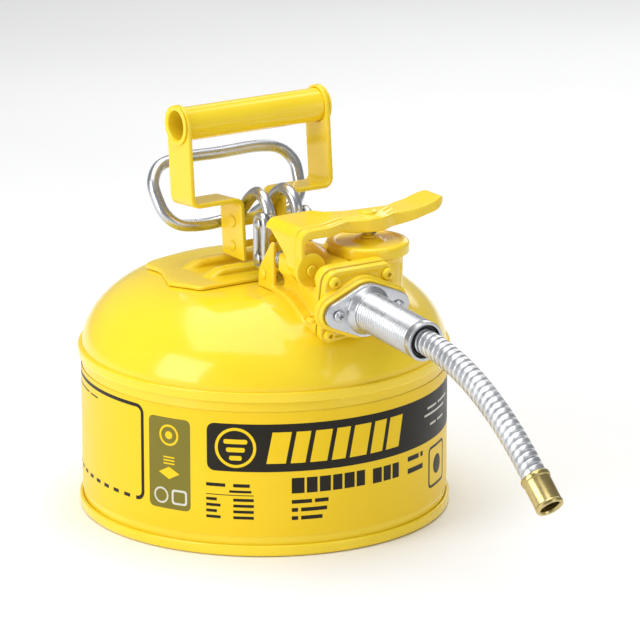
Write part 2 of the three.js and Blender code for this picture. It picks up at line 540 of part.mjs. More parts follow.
{
  const boss = S(slab(flangeOutline(1.2), -12, FLANGE_SEAT).applyMatrix4(socketFrame));
  const plate = S(platePad(26, 24.5, -PLATE_T, 0, 8)).add(boss)
    .subtract(S(axisRod(40, -30, -PLATE_T, 24))).subtract(domeBody(2 * GAP))
    .subtract(S(rod(9, -20, 20, 24).applyMatrix4(socketFrame)));
  add('pour_cover_plate', drilled(plate, [...coverHoles(2.3, -10, 5), ...flangeHoles(1.9, -11, 0)]),
    YELLOW);
}
{
  const gasket = S(platePad(25.6, 24.1, -PLATE_T - GAP - GASKET_T, -PLATE_T - GAP, 8))
    .subtract(S(axisRod(CHAMBER_R + 0.3, -20, 10, 24))).subtract(domeBody(2 * GAP));
  add('cover_gasket', drilled(gasket, coverHoles(2.3, -10, 5)), RUBBER);
}
COVER_SCREWS.forEach(([y, z], i) => {
  add(`cover_screw_${i + 1}`, S(screw(1.6, z < 0 ? 9 : 12, 3.9, 3).translate(-z * SCREW_Z, y * SCREW_Y, GAP)
    .applyMatrix4(plateFrame)), YELLOW);
});
add('flange_gasket', drilled(S(slab(flangeOutline(0.2), -FLANGE_T - GAP - GASKET_T, -FLANGE_T - GAP)
  .applyMatrix4(socketFrame)).subtract(S(rod(9, -20, 20, 24).applyMatrix4(socketFrame))),
flangeHoles(2.2, -12, 5)), RUBBER);
{
  const socket = S(turned([[0, -1], [SOCKET_R + 2.2, -1], [SOCKET_R + 2.2, 0.6], [SOCKET_R, 3],
    [SOCKET_R, SOCKET_LEN], [0, SOCKET_LEN]], 28)
    .applyMatrix4(socketFrame));
  const bore = S(turned([[0, -10], [6.8, -10], [6.8, 0.7], [SOCKET_BORE, 0.7],
    [SOCKET_BORE, SOCKET_LEN + 5], [0, SOCKET_LEN + 5]], 24).applyMatrix4(socketFrame));
  add('hose_flange', drilled(S(slab(flangeOutline(0), -FLANGE_T, 0).applyMatrix4(socketFrame))
    .add(socket).subtract(bore), flangeHoles(2.1, -12, 5)), ZINC);
}
[-1, 1].forEach((side, i) => {
  add(`flange_screw_${i + 1}`, S(screw(1.5, 10, 3.7, 2.6).translate(0, side * FLANGE_SCREW_Y, GAP)
    .applyMatrix4(socketFrame)), STEEL);
});
add('mouth_ring', S(tube(HOSE_R + 0.5, SOCKET_BORE - GAP, SOCKET_LEN - 5, SOCKET_LEN - 2, 24)
  .applyMatrix4(socketFrame)), RUBBER);

add('hose', S(bar(HOSE_ROUTE, HOSE_R, 17, 10)), ZINC);
{
  const [x1, , z1] = HOSE_ROUTE[HOSE_ROUTE.length - 1];
  const [x0, , z0] = HOSE_ROUTE[HOSE_ROUTE.length - 2];
  const slope = Math.atan2(z0 - z1, x1 - x0);
  const ferruleFrame = pourFrame(new THREE.Vector3(x1, 0, z1), slope);
  add('hose_ferrule', S(turned([[0, GAP], [FERRULE_R - 0.3, GAP], [FERRULE_R, 1], [FERRULE_R, 3],
    [FERRULE_R - 0.5, 3.8], [FERRULE_R - 0.5, FERRULE_LEN - 1.2], [FERRULE_R - 1.2, FERRULE_LEN],
    [FERRULE_R - 2.6, FERRULE_LEN], [FERRULE_R - 3.2, FERRULE_LEN - 1.5], [FERRULE_R - 3.2, 4],
    [0, 4]], 20).applyMatrix4(ferruleFrame)), BRASS);
}

// ---------------------------------------------------------------- pour valve
const DISC_R = 15.6;
const SEAT_BACK = -PLATE_T;
add('valve_seal', S(tube(10, DISC_R - 0.4, SEAT_BACK - 2.3, SEAT_BACK - GAP, 20)
  .applyMatrix4(plateFrame)), RUBBER);
add('valve_disc', S(turned([[3.3, SEAT_BACK - 2.6], [DISC_R, SEAT_BACK - 2.6], [DISC_R, SEAT_BACK - 4.8],
  [DISC_R - 1.5, SEAT_BACK - 5.4], [6, SEAT_BACK - 5.4], [5.4, SEAT_BACK - 8], [3.3, SEAT_BACK - 8]], 20)
  .applyMatrix4(plateFrame)), STEEL);
const STEM_R = 3;
const STEM_PIN_R = 1.4;
const stemPinRod = (r, half) => rodY(r, -half, half, STEM_PIN.x, STEM_PIN.z, 12);
add('valve_stem', S(turned([[0, -STEM_END - 3.4], [STEM_R - 1, -STEM_END - 3.4],
  [STEM_R, -STEM_END - 2.4], [STEM_R, SEAT_BACK - 2.3], [6, SEAT_BACK - 2.3], [6, SEAT_BACK - 0.8],
  [0, SEAT_BACK - 0.8]], 16).applyMatrix4(plateFrame)).subtract(S(stemPinRod(STEM_PIN_R + 0.2, 10))),
STEEL);
add('stem_pin', S(stemPinRod(STEM_PIN_R, 7.4)), STEEL);
const VALVE_TRAVEL = 2.93;
add('valve_spring', S(coil(5.6, 1, -CHAMBER_BACK + 1.5, SEAT_BACK - 5.4 - VALVE_TRAVEL - 1.6, 5)
  .applyMatrix4(plateFrame)), STEEL);

// ---------------------------------------------------------------- fill side
// An arrester cup that hangs by its rim, with its mouth up.
const cup = (x, y, rim, r, top, bottom, segs = 18) => S(turned([[0, bottom], [r, bottom], [r, top],
  [rim, top], [rim, top + 1.2], [r - 1, top + 1.2], [r - 1, bottom + 1.2], [0, bottom + 1.2]], segs)
  .translate(x, y, 0));
add('fill_arrester', cup(FILL.x, FILL.y, NECK_BORE - 0.4, 15, LEDGE_Z + GAP, 70), STEEL);
add('pour_arrester', cup(POUR_HOLE[0], POUR_HOLE[1], 14.4, 12, domeZ(0) + GAP, 88), STEEL);
add('vent_tube', S(tube(2.5, 3.4, 52, 150, 12).translate(VENT[0], VENT[1], 0)), STEEL);

const GASKET_TOP = CAP_Z - GAP;
add('cap_gasket', S(tube(NECK_BORE - 1, NECK_R + 1.6, NECK_TOP + GAP, GASKET_TOP, 32)
  .translate(FILL.x, FILL.y, 0)), RUBBER);
const CAP_TOP = CAP_Z + CAP_T;
const STUD_R = 3;
const LEVER_LOW = 195.5;         // underside of the lever over the cap
const BOSS_TOP = 205.4;          // lever's round boss under the stud's head
add('fill_cap', S(turned([[0, CAP_Z], [CAP_R - 1.4, CAP_Z], [CAP_R, CAP_Z + 1.4], [CAP_R, CAP_TOP - 2],
  [CAP_R - 0.8, CAP_TOP - 0.6], [CAP_R - 2.4, CAP_TOP], [12, CAP_TOP + 0.4], [8, CAP_TOP + 1.6],
  [0, CAP_TOP + 1.6]], 32).translate(FILL.x, FILL.y, 0)), YELLOW);
add('cap_stud', S(turned([[0, CAP_TOP + 1.6 + GAP], [5.4, CAP_TOP + 1.6 + GAP], [5.4, CAP_TOP + 2.8],
  [STUD_R, CAP_TOP + 3.2], [STUD_R, BOSS_TOP + GAP], [6, BOSS_TOP + GAP], [6, BOSS_TOP + 1.4],
  [4.6, BOSS_TOP + 2.2], [0, BOSS_TOP + 2.2]], 16).translate(FILL.x, FILL.y, 0)), YELLOW);
add('cap_relief_spring', S(coil(4.8, 0.7, CAP_TOP + 5.2, LEVER_LOW - 1, 1)
  .translate(FILL.x, FILL.y, 0)), STEEL);

// ---------------------------------------------------------------- lid lever
const WALL_Y = -29.3;            // outer face of the lever's end wall
const WALL_T = 3.4;
const KNUCKLE_X0 = LUG_X1 + GAP + 0.1;
{
  const side = [...rounded([[WALL_Y, HINGE_Z], [WALL_Y, 204.2], [16, 204.2], [50, 205], [66, 206.6],
    [82, 211], [87, 208.6], [80, 203], [64, 199.2], [50, 196.2], [34, LEVER_LOW], [14, LEVER_LOW + 0.4],
    [4, 199.6], [WALL_Y + WALL_T, 199.6], [WALL_Y + WALL_T, HINGE_Z]],
  [0, 8, 20, 40, 40, 2.4, 2.4, 20, 30, 30, 30, 10, 6, 4, 0], 3)];
  const top = rounded([[52, -30], [90, -30], [90, -8], [82, 12], [87, 24], [87.5, 36], [83, 46],
    [86, 60], [85, 76], [77, 87], [69, 87], [62, 76], [62, 60], [66, 46], [62, 36], [60, 20], [52, 10]],
  [0, 0, 8, 8, 10, 10, 12, 16, 10, 9, 9, 10, 16, 12, 10, 10, 10], 2);
  const plate = S(slabX(side, 48, 92)).intersect(S(slab(top, 150, 220)));
  const alongX = (r, x0, x1, segs = 20) => S(rod(r, x0, x1, segs).rotateY(Math.PI / 2)
    .translate(0, HINGE_Y, HINGE_Z));
  const knuckles = union(alongX(8, KNUCKLE_X0, 90), alongX(11, 86.4, 90));
  const boss = S(turned([[0, 198], [10.5, 198], [10.5, BOSS_TOP - 1.2], [9.3, BOSS_TOP],
    [0, BOSS_TOP]], 20).translate(FILL.x, FILL.y, 0));
  // the end wall narrows towards the hinge
  const slant = S(slabY([[40, 170], [KNUCKLE_X0, 170], [KNUCKLE_X0, 185], [69, 189], [56, 199],
    [40, 199]], -34, -10));
  add('lid_lever', plate.subtract(slant).add(knuckles).add(boss)
    .subtract(alongX(2.9, 40, 100, 16))
    .subtract(S(rod(STUD_R + 0.4, 180, 220, 16).translate(FILL.x, FILL.y, 0))), YELLOW);
}
add('lid_hinge_pin', S(turned([[0, 53], [2.5, 53], [2.5, 90.3], [3.6, 90.3], [3.6, 91], [2.8, 91.8],
  [0, 91.8]], 16).rotateY(Math.PI / 2).translate(0, HINGE_Y, HINGE_Z)), STEEL);
add('lid_spring', S(coil(4.6, 0.8, LUG_X0 - 5, LUG_X0 - 1.2, 2).rotateY(Math.PI / 2)
  .translate(0, HINGE_Y, HINGE_Z)), STEEL);

export default group;
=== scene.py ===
"""The looks of a one-gallon safety gas can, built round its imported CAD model.

Shapes are given in millimetres in the row frame (+Z up, +X the pouring direction, +Y towards
the finger tab) and scaled to metres when they become meshes.
"""
import math

import bmesh
import bpy
from mathutils import Matrix, Vector


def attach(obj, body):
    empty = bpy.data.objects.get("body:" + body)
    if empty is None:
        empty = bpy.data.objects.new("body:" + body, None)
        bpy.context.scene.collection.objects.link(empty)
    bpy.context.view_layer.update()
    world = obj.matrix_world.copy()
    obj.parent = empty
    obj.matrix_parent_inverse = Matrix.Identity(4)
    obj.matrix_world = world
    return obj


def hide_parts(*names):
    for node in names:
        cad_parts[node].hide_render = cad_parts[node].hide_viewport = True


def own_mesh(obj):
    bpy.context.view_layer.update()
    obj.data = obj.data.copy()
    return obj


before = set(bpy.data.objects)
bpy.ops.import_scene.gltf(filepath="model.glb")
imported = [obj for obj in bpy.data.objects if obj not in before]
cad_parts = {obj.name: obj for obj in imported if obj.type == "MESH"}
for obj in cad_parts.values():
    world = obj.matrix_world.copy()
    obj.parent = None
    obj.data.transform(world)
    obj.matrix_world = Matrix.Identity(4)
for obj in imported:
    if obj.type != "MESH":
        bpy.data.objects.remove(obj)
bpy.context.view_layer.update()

MM = 0.001
GAP = 0.3          # clearance between neighbouring pieces
NO_EDGES = 180     # crease angle, in degrees, of a solid that is smooth all over
SCENE = bpy.context.scene
SCENE.view_settings.view_transform = "Standard"

# ---- driving sizes, in millimetres
CAN_R = 118.6
CHIME_R = 121
SEAM_LOW = 101.5
SEAM_TOP = 108
DOME_FLAT_R = 60
DOME_RISE = 47
DOME_POWER = 1.8
PRESSED_H = 2.6
STRAP_W = 26
STRAP_T = 3
LEG_Y = 16
STRAP_Y = 52.5
LEG_FOOT_Z = 163.7
STRAP_BEND_Z = 203
HANDLE_X = -9.6
HANDLE_TILT = math.radians(5)
GRIP_Z = 255
GRIP_R = 11
GRIP_LIP_R = 12.9
GRIP_HALF = 56
PIVOT = (-10.4, 187.5)
SPACER = (HANDLE_X - 0.5, 171.5)
WIRE_R = 3.95
EYE = Vector((23.5, 10.7, 193.5))
LINK_LOW = Vector((23, 0, 170.5))
ROCKER = Vector((36.5, 0, 164.5))
LINK_Y = 16.9
LINK_WIRE = 2.5
PIN_R = 2
VALVE_TILT = math.radians(10)
PLATE_POS = Vector((110, 0, 158.5))
PLATE_T = 5
SOCKET_TILT = math.radians(4.2)
FLANGE_POS = Vector((122.4, 0, 157))
FLANGE_T = 3
GASKET_T = 0.8
SOCKET_LEN = 64
SOCKET_R = 12.7
SOCKET_BORE = 10.6
SCREW_Y = 19.8
SCREW_Z = 18
FLANGE_SCREW_Y = 22.4
FILL = Vector((75, 31, 0))
NECK_TOP = 180
NECK_R = 22.6
NECK_BORE = 18.5
CAP_R = 26.4
CAP_Z = 182.3
CAP_TOP = 188.1
STUD_R = 3
LEVER_LOW = 195.5
BOSS_TOP = 205.4
HINGE_Y = -21.5
HINGE_Z = 178.7
LEVER_TOP = 204.2
POUR_X = 66
VENT = (86, -9)
FINGER_TAB = (73.5, 75.4)
WALL_Y = -29.3
LUG_X0, LUG_X1 = 60, 73.6
KNUCKLE_X0 = LUG_X1 + GAP + 0.1
HOSE_R = 8
FERRULE_R = 9.4
FERRULE_LEN = 23
HOSE_ROUTE = [
    (123.4, 0, 156.9), (136.4, 0, 156), (149.3, 0, 155), (162.3, 0, 154.1), (174.3, 0, 153.2),
    (186.8, 0, 152.3), (197.6, 0, 151.1), (208.2, 0, 149.1), (218.7, 0, 146.5), (228.9, 0, 143.2),
    (239, 0, 139.3), (248.8, 0, 134.8), (258.3, 0, 129.7), (267.5, 0, 124.2), (276.6, 0, 118.1),
    (285.3, 0, 111.6), (293.6, 0, 104.8), (302, 0, 97.3),
]


# ---- camera
CAMERA_AIM = Vector((19.8, 30.5, 121)) * MM
CAMERA_RIGHT = Vector((0.5446, 0.8387, 0))
CAMERA_BACK = Vector((0.8054, -0.5230, 0.2790)).normalized()
CAMERA_DISTANCE = 3.0


def make_camera():
    """A long lens from the pouring side, a little above the can."""
    camera = bpy.data.objects.new("camera", bpy.data.cameras.new("camera"))
    camera.data.lens = 259.9
    camera.data.sensor_width = 36
    camera.data.clip_end = 20
    up = CAMERA_BACK.cross(CAMERA_RIGHT)
    turn = Matrix((CAMERA_RIGHT, up, CAMERA_BACK)).transposed().to_4x4()
    camera.matrix_world = Matrix.Translation(CAMERA_AIM + CAMERA_BACK * CAMERA_DISTANCE) @ turn
    SCENE.collection.objects.link(camera)
    SCENE.camera = camera


make_camera()


# ---- materials
def set_inputs(node, values):
    for name, value in values.items():
        node.inputs[name].default_value = value
    return node


def shader(name, color, metallic, roughness):
    """A material, its node tree and its Principled shader."""
    material = bpy.data.materials.new(name)
    material.use_nodes = True
    bsdf = material.node_tree.nodes["Principled BSDF"]
    set_inputs(bsdf, {"Base Color": (*color, 1), "Metallic": metallic, "Roughness": roughness})
    return material, material.node_tree, bsdf


def texture(tree, kind, values):
    """A texture on object coordinates, so that its scale counts features a metre."""
    node = set_inputs(tree.nodes.new(kind), values)
    coordinates = tree.nodes.new("ShaderNodeTexCoord")
    tree.links.new(coordinates.outputs["Object"], node.inputs["Vector"])
    return node


def noise(tree, scale, detail=3):
    return texture(tree, "ShaderNodeTexNoise", {"Scale": scale, "Detail": detail}).outputs["Fac"]


def color_ramp(tree, bsdf, fac, stops):
    """Let a texture run the base colour from one stop to the other."""
    node = tree.nodes.new("ShaderNodeValToRGB")
    for element, (position, color) in zip(node.color_ramp.elements, stops):
        element.position = position
        element.color = (*color, 1)
    tree.links.new(fac, node.inputs["Fac"])
    tree.links.new(node.outputs["Color"], bsdf.inputs["Base Color"])


def drift_color(tree, bsdf, fac, low, high):
    """Let the base colour drift between two colours."""
    color_ramp(tree, bsdf, fac, ((0.35, low), (0.65, high)))


def drift_roughness(tree, bsdf, fac, low, high):
    """Let the roughness drift between two values."""
    spread = set_inputs(tree.nodes.new("ShaderNodeMapRange"),
                        {"From Min": 0.3, "From Max": 0.7, "To Min": low, "To Max": high})
    tree.links.new(fac, spread.inputs["Value"])
    tree.links.new(spread.outputs["Result"], bsdf.inputs["Roughness"])


def relief(tree, bsdf, fac, depth):
    """Bump the surface by `depth` metres."""
    bump = set_inputs(tree.nodes.new("ShaderNodeBump"), {"Strength": 1.0, "Distance": depth})
    tree.links.new(fac, bump.inputs["Height"])
    tree.links.new(bump.outputs["Normal"], bsdf.inputs["Normal"])


def enamel(name, low, high, roughness=(0.16, 0.24), peel=0.00002, scale=420, coat=0.25):
    """Sprayed gloss enamel with a faint orange peel and a drift of tone."""
    material, tree, bsdf = shader(name, high, 0.0, roughness[0])
    drift_color(tree, bsdf, noise(tree, 14, 4), low, high)
    drift_roughness(tree, bsdf, noise(tree, 60, 3), *roughness)
    relief(tree, bsdf, noise(tree, scale, 2), peel)
    set_inputs(bsdf, {"Coat Weight": coat, "Coat Roughness": 0.06,
                      "Specular IOR Level": 0.2 + 0.8 * coat})
    return material


def metal(name, low, high, roughness, grain=900, depth=0.00001):
    """Plated or bare metal with a fine grain."""
    material, tree, bsdf = shader(name, high, 1.0, roughness[0])
    drift_color(tree, bsdf, noise(tree, 45, 4), low, high)
    drift_roughness(tree, bsdf, noise(tree, 160, 4), *roughness)
    relief(tree, bsdf, noise(tree, grain, 3), depth)
    return material


def perforated(name, color):
    """Thin sheet steel with rows of small punched holes."""
    material, tree, bsdf = shader(name, color, 1.0, 0.4)
    cells = texture(tree, "ShaderNodeTexVoronoi", {"Scale": 420, "Randomness": 0.0})
    color_ramp(tree, bsdf, cells.outputs["Distance"], ((0.30, (0.01, 0.01, 0.01)), (0.36, color)))
    return material


def rubber(name):
    """Moulded black rubber with a dusty bloom."""
    material, tree, bsdf = shader(name, (0.03, 0.03, 0.032), 0.0, 0.6)
    drift_color(tree, bsdf, noise(tree, 80, 4), (0.018, 0.018, 0.019), (0.04, 0.04, 0.042))
    drift_roughness(tree, bsdf, noise(tree, 200, 3), 0.5, 0.75)
    relief(tree, bsdf, noise(tree, 900, 2), 0.00003)
    return material


YELLOW = enamel("yellow_enamel", (0.915, 0.655, 0.018), (0.945, 0.695, 0.026))
CAST_YELLOW = enamel("yellow_cast_enamel", (0.91, 0.635, 0.016), (0.945, 0.675, 0.024),
                     (0.24, 0.34), 0.00006, 260)
LABEL_TONES = ((0.875, 0.585, 0.010), (0.90, 0.61, 0.014))
LABEL = enamel("yellow_label", *LABEL_TONES, (0.3, 0.38), 0.00001, 900, 0.05)


def ink(name, low, high, roughness=(0.34, 0.42)):
    return enamel(name, low, high, roughness, 0.000006, 900, 0)


INK_YELLOW = ink("ink_yellow", *LABEL_TONES, (0.3, 0.38))
INK_BLACK = ink("ink_black", (0.012, 0.010, 0.006), (0.019, 0.015, 0.009), (0.34, 0.44))
INK_OLIVE = ink("ink_olive", (0.19, 0.16, 0.018), (0.215, 0.18, 0.024))
INK_WHITE = ink("ink_white", (0.62, 0.6, 0.52), (0.68, 0.66, 0.58))
ZINC = metal("bright_zinc", (0.52, 0.53, 0.55), (0.60, 0.61, 0.63), (0.24, 0.36))
HOSE_METAL = metal("strip_wound_zinc", (0.58, 0.59, 0.61), (0.74, 0.75, 0.77), (0.3, 0.42), 700)
STEEL = metal("plain_steel", (0.46, 0.47, 0.49), (0.6, 0.61, 0.63), (0.24, 0.4))
SPRING_STEEL = metal("spring_steel", (0.3, 0.31, 0.33), (0.44, 0.45, 0.47), (0.25, 0.4))
BRASS = metal("dull_brass", (0.42, 0.33, 0.12), (0.58, 0.47, 0.2), (0.22, 0.36))
MESH_STEEL = perforated("perforated_steel", (0.5, 0.51, 0.53))
RUBBER = rubber("black_rubber")
# Seals painted over in yellow; their dark tone is painted shade for the thin shadowed gap round the
# cover plate and the flange.
YELLOW_SEAL_WITH_PAINTED_SHADE = enamel("yellow_seal_with_painted_shade", (0.40, 0.24, 0.006), (0.48, 0.29, 0.008),
                      (0.45, 0.6), 0.00004, 500)


# ---- mesh work
def fillet(points, radius, steps=5, closed=True):
    """Round the corners of an outline or path with arcs; `radius` is one value or one a corner."""
    out = []
    count = len(points)
    for i, point in enumerate(points):
        r = radius[i] if isinstance(radius, (list, tuple)) else radius
        p = Vector(point)
        before = Vector(points[i - 1]) - p
        after = Vector(points[(i + 1) % count]) - p
        ends = not closed and i in (0, count - 1)
        if ends or r == 0 or before.angle(after) > 3.0:
            out.append(tuple(p))
            continue
        half = before.angle(after) / 2
        reach = min(r / math.tan(half), before.length * 0.499, after.length * 0.499)
        fit = reach * math.tan(half)
        inward = (before.normalized() + after.normalized()).normalized()
        centre = p + inward * (fit / math.sin(half))
        a = p + before.normalized() * reach - centre
        b = p + after.normalized() * reach - centre
        angle = math.pi - 2 * half
        for k in range(steps + 1):
            t = angle * k / steps
            of_a = math.sin(angle - t) / math.sin(angle)
            of_b = math.sin(t) / math.sin(angle)
            out.append(tuple(centre + (a * of_a + b * of_b)))
    return out


def spline(points, per_span=6, closed=False):
    """Points along a centripetal Catmull-Rom curve through the given ones."""
    pts = [Vector(p) for p in points]
    count = len(pts)
    spans = count if closed else count - 1
    out = []
    for i in range(spans):
        p1, p2 = pts[i], pts[(i + 1) % count]
        p0 = pts[i - 1] if closed or i > 0 else p1 + (p1 - p2)
        p3 = pts[(i + 2) % count] if closed or i + 2 < count else p2 + (p2 - p1)
        d01, d12, d23 = (math.sqrt((b - a).length) for a, b in ((p0, p1), (p1, p2), (p2, p3)))
        m1 = ((p1 - p0) / d01 - (p2 - p0) / (d01 + d12) + (p2 - p1) / d12) * d12
        m2 = ((p2 - p1) / d12 - (p3 - p1) / (d12 + d23) + (p3 - p2) / d23) * d12
        for k in range(per_span):
            t = k / per_span
            out.append(p1 * (2 * t**3 - 3 * t**2 + 1) + m1 * (t**3 - 2 * t**2 + t)
                       + p2 * (3 * t**2 - 2 * t**3) + m2 * (t**3 - t**2))
    if not closed:
        out.append(pts[-1])
    return out


def arc(cx, cy, rx, ry, start, end, steps):
    """Points along an arc of an ellipse; the angles are in radians."""
    turns = [start + (end - start) * k / steps for k in range(steps + 1)]
    return [(cx + rx * math.cos(t), cy + ry * math.sin(t)) for t in turns]


def skin(bm, a, b):
    """Faces between two rings of vertices; a ring of one vertex is a pole."""
    count = max(len(a), len(b))
    for k in range(count):
        n = (k + 1) % count
        if len(a) == 1:
            bm.faces.new((a[0], b[n], b[k]))
        elif len(b) == 1:
            bm.faces.new((a[k], a[n], b[0]))
        else:
            bm.faces.new((a[k], a[n], b[n], b[k]))


def lathe(profile, segs=96, matrix=Matrix()):
    """A turned solid about +Z from [radius, height] points; it closes on itself or on the axis."""
    bm = bmesh.new()
    rings = []
    for r, z in profile:
        angles = [2 * math.pi * k / segs for k in range(segs)] if r > 1e-6 else [0]
        rings.append([bm.verts.new(matrix @ Vector((r * math.cos(t), r * math.sin(t), z)))
                      for t in angles])
    pairs = list(zip(rings, rings[1:]))
    if profile[0][0] > 1e-6:
        pairs.append((rings[-1], rings[0]))
    for a, b in pairs:
        skin(bm, a, b)
    return bm


def prism(outline, z0, z1, matrix=Matrix()):
    """An outline in XY, pushed from z0 to z1."""
    bm = bmesh.new()
    low = [bm.verts.new(matrix @ Vector((p[0], p[1], z0))) for p in outline]
    high = [bm.verts.new(matrix @ Vector((p[0], p[1], z1))) for p in outline]
    bm.faces.new(low[::-1])
    bm.faces.new(high)
    skin(bm, low, high)
    return bm


def prism_x(outline, x0, x1, matrix=Matrix()):
    """An outline in YZ, pushed from x0 to x1."""
    cycle = Matrix(((0, 0, 1, 0), (1, 0, 0, 0), (0, 1, 0, 0), (0, 0, 0, 1)))
    return prism(outline, x0, x1, matrix @ cycle)


def prism_y(outline, y0, y1, matrix=Matrix()):
    """An outline in XZ, pushed from y0 to y1."""
    return prism(outline, -y1, -y0, matrix @ Matrix.Rotation(math.pi / 2, 4, "X"))


def sweep(path, radius, sides=20, closed=False):
    """A bar along a path; radius is a number or a function of (length along the path, angle)."""
    bm = bmesh.new()
    pts = [Vector(p) for p in path]
    count = len(pts)
    tangents = []
    for i in range(count):
        a = pts[i - 1] if closed or i > 0 else pts[i]
        b = pts[(i + 1) % count] if closed or i + 1 < count else pts[i]
        tangents.append((b - a).normalized())
    seed = Vector((0, 1, 0)) if abs(tangents[0].y) < 0.9 else Vector((1, 0, 0))
    side = (seed - tangents[0] * seed.dot(tangents[0])).normalized()
    rings, along = [], 0.0
    for i in range(count):
        if i > 0:
            along += (pts[i] - pts[i - 1]).length
        side = (side - tangents[i] * side.dot(tangents[i])).normalized()
        other = tangents[i].cross(side)
        ring = []
        for k in range(sides):
            t = 2 * math.pi * k / sides
            r = radius(along, t) if callable(radius) else radius
            ring.append(bm.verts.new(pts[i] + side * (r * math.cos(t)) + other * (r * math.sin(t))))
        rings.append(ring)
    for a, b in zip(rings, rings[1:]):
        skin(bm, a, b)
    if closed:
        skin(bm, rings[-1], rings[0])
    else:
        bm.faces.new(rings[0][::-1])
        bm.faces.new(rings[-1])
    return bm


def coil_path(radius, z0, z1, turns, per_turn=24, closed_ends=0.0):
    """Points of a helix about +Z; closed_ends is the share of turns lying flat at each end."""
    points = []
    steps = int(turns * per_turn)
    for i in range(steps + 1):
        share = i / steps
        rise = min(max((share - closed_ends) / (1 - 2 * closed_ends), 0), 1)
        t = 2 * math.pi * i / per_turn
        points.append(Vector((radius * math.cos(t), radius * math.sin(t), z0 + (z1 - z0) * rise)))
    return points


def loose(bm, name):
    """An object of its own from a mesh."""
    mesh = bpy.data.meshes.new(name)
    bm.to_mesh(mesh)
    bm.free()
    obj = bpy.data.objects.new(name, mesh)
    SCENE.collection.objects.link(obj)
    return obj


def solid(bm, name="solid"):
    """A loose object in metres from a mesh in millimetres."""
    bmesh.ops.scale(bm, vec=(MM, MM, MM), verts=bm.verts)
    bmesh.ops.recalc_face_normals(bm, faces=bm.faces)
    return loose(bm, name)


def apply_modifiers(obj):
    """Bake the object's modifiers into its mesh."""
    graph = bpy.context.evaluated_depsgraph_get()
    baked = bpy.data.meshes.new_from_object(obj.evaluated_get(graph))
    obj.modifiers.clear()
    obj.data = baked
    return obj


def boolean(obj, operation, others):
    """Join or cut obj by the other loose solids, which are used up."""
    for other in others:
        step = obj.modifiers.new("boolean", "BOOLEAN")
        step.operation = operation
        step.solver = "EXACT"
        step.object = other
        apply_modifiers(obj)
        bpy.data.objects.remove(other)
    return obj


def joined(first, *others):
    return boolean(first, "UNION", others)


def fused(parts, voxel):
    """Melt overlapping closed solids into one."""
    bm = bmesh.new()
    for part in parts:
        bm.from_mesh(part.data)
        bpy.data.objects.remove(part)
    return soften(loose(bm, "fused"), voxel, 1)


def bored(obj, cutters):
    """Cut many solids away at once."""
    tray = bpy.data.collections.new("cutters")
    for cutter in cutters:
        tray.objects.link(cutter)
    SCENE.collection.children.link(tray)
    step = obj.modifiers.new("bored", "BOOLEAN")
    step.operation = "DIFFERENCE"
    step.solver = "EXACT"
    step.operand_type = "COLLECTION"
    step.collection = tray
    apply_modifiers(obj)
    for cutter in cutters:
        bpy.data.objects.remove(cutter)
    bpy.data.collections.remove(tray)
    return obj


def cut(obj, *others):
    return boolean(obj, "DIFFERENCE", others)


def common(obj, *others):
    return boolean(obj, "INTERSECT", others)


def soften(obj, voxel, rounds):
    """Give a solid the soft edges and fillets of a casting or of thick paint."""
    remesh = obj.modifiers.new("remesh", "REMESH")
    remesh.mode = "VOXEL"
    remesh.voxel_size = voxel * MM
    relax = obj.modifiers.new("relax", "SMOOTH")
    relax.factor = 0.5
    relax.iterations = rounds
    return apply_modifiers(obj)


def bevelled(obj, width, segments=3, angle=35):
    """Break the sharp edges of a solid."""
    edge = obj.modifiers.new("edge", "BEVEL")
    edge.width = width * MM
    edge.segments = segments
    edge.limit_method = "ANGLE"
    edge.angle_limit = math.radians(angle)
    return apply_modifiers(obj)


def piece(obj, name, material, body, nodes=(), crease=38):
    """Name a solid, finish its surface and let it stand for CAD nodes.
    """
    if isinstance(obj, bmesh.types.BMesh):
        obj = solid(obj, name)
    obj.name = name
    obj.data.name = name
    obj.data.materials.clear()
    obj.data.materials.append(material)
    for polygon in obj.data.polygons:
        polygon.use_smooth = True
    obj.data.set_sharp_from_angle(angle=math.radians(crease))
    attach(obj, body)
    if nodes:
        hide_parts(*nodes)
    return obj


def pour_frame(position, tilt):
    """Local +Z is the pour axis, local +X is down across it and local Y stays Y."""
    return Matrix.Translation(position) @ Matrix.Rotation(math.pi / 2 + tilt, 4, "Y")


def at(x, y, z=0):
    return Matrix.Translation((x, y, z))


def along_y(x, z):
    """Local +Z is +Y, through (x, z)."""
    return at(x, 0, z) @ Matrix.Rotation(-math.pi / 2, 4, "X")


def along_x(y, z):
    """Local +Z is +X, through (y, z)."""
    return at(0, y, z) @ Matrix.Rotation(math.pi / 2, 4, "Y")


PLATE_FRAME = pour_frame(PLATE_POS, VALVE_TILT)
SOCKET_FRAME = pour_frame(FLANGE_POS, SOCKET_TILT)
FILL_AXIS = at(FILL.x, FILL.y)


EYE_AXIS = along_y(EYE.x, EYE.z)
LINK_AXIS = along_y(LINK_LOW.x, LINK_LOW.z)
ROCKER_AXIS = along_y(ROCKER.x, ROCKER.z)
PIVOT_AXIS = along_y(*PIVOT)
SPACER_AXIS = along_y(*SPACER)
HINGE_AXIS = along_x(HINGE_Y, HINGE_Z)


def rod(r, z0, z1, matrix=Matrix(), segs=48):
    return solid(lathe([(0, z0), (r, z0), (r, z1), (0, z1)], segs, matrix))


def turned(points, radii, steps, segs, matrix=Matrix()):
    """A turned solid whose outline has its corners rounded."""
    return lathe(fillet(points, radii, steps, False), segs, matrix)


# ---- flexible hose and its ferrule
def hose_ribs(along, angle):
    """Radius of the strip-wound hose: round crests with a narrow groove that climbs as a helix."""
    pitch, depth, groove = 4.7, 1.1, 0.42
    share = (along / pitch - angle / (2 * math.pi)) % 1
    from_groove = min(share, 1 - share) * pitch
    crown = 0.16 * ((pitch / 2 - from_groove) / (pitch / 2)) ** 2
    return HOSE_R - crown - depth * math.exp(-((from_groove / groove) ** 2))


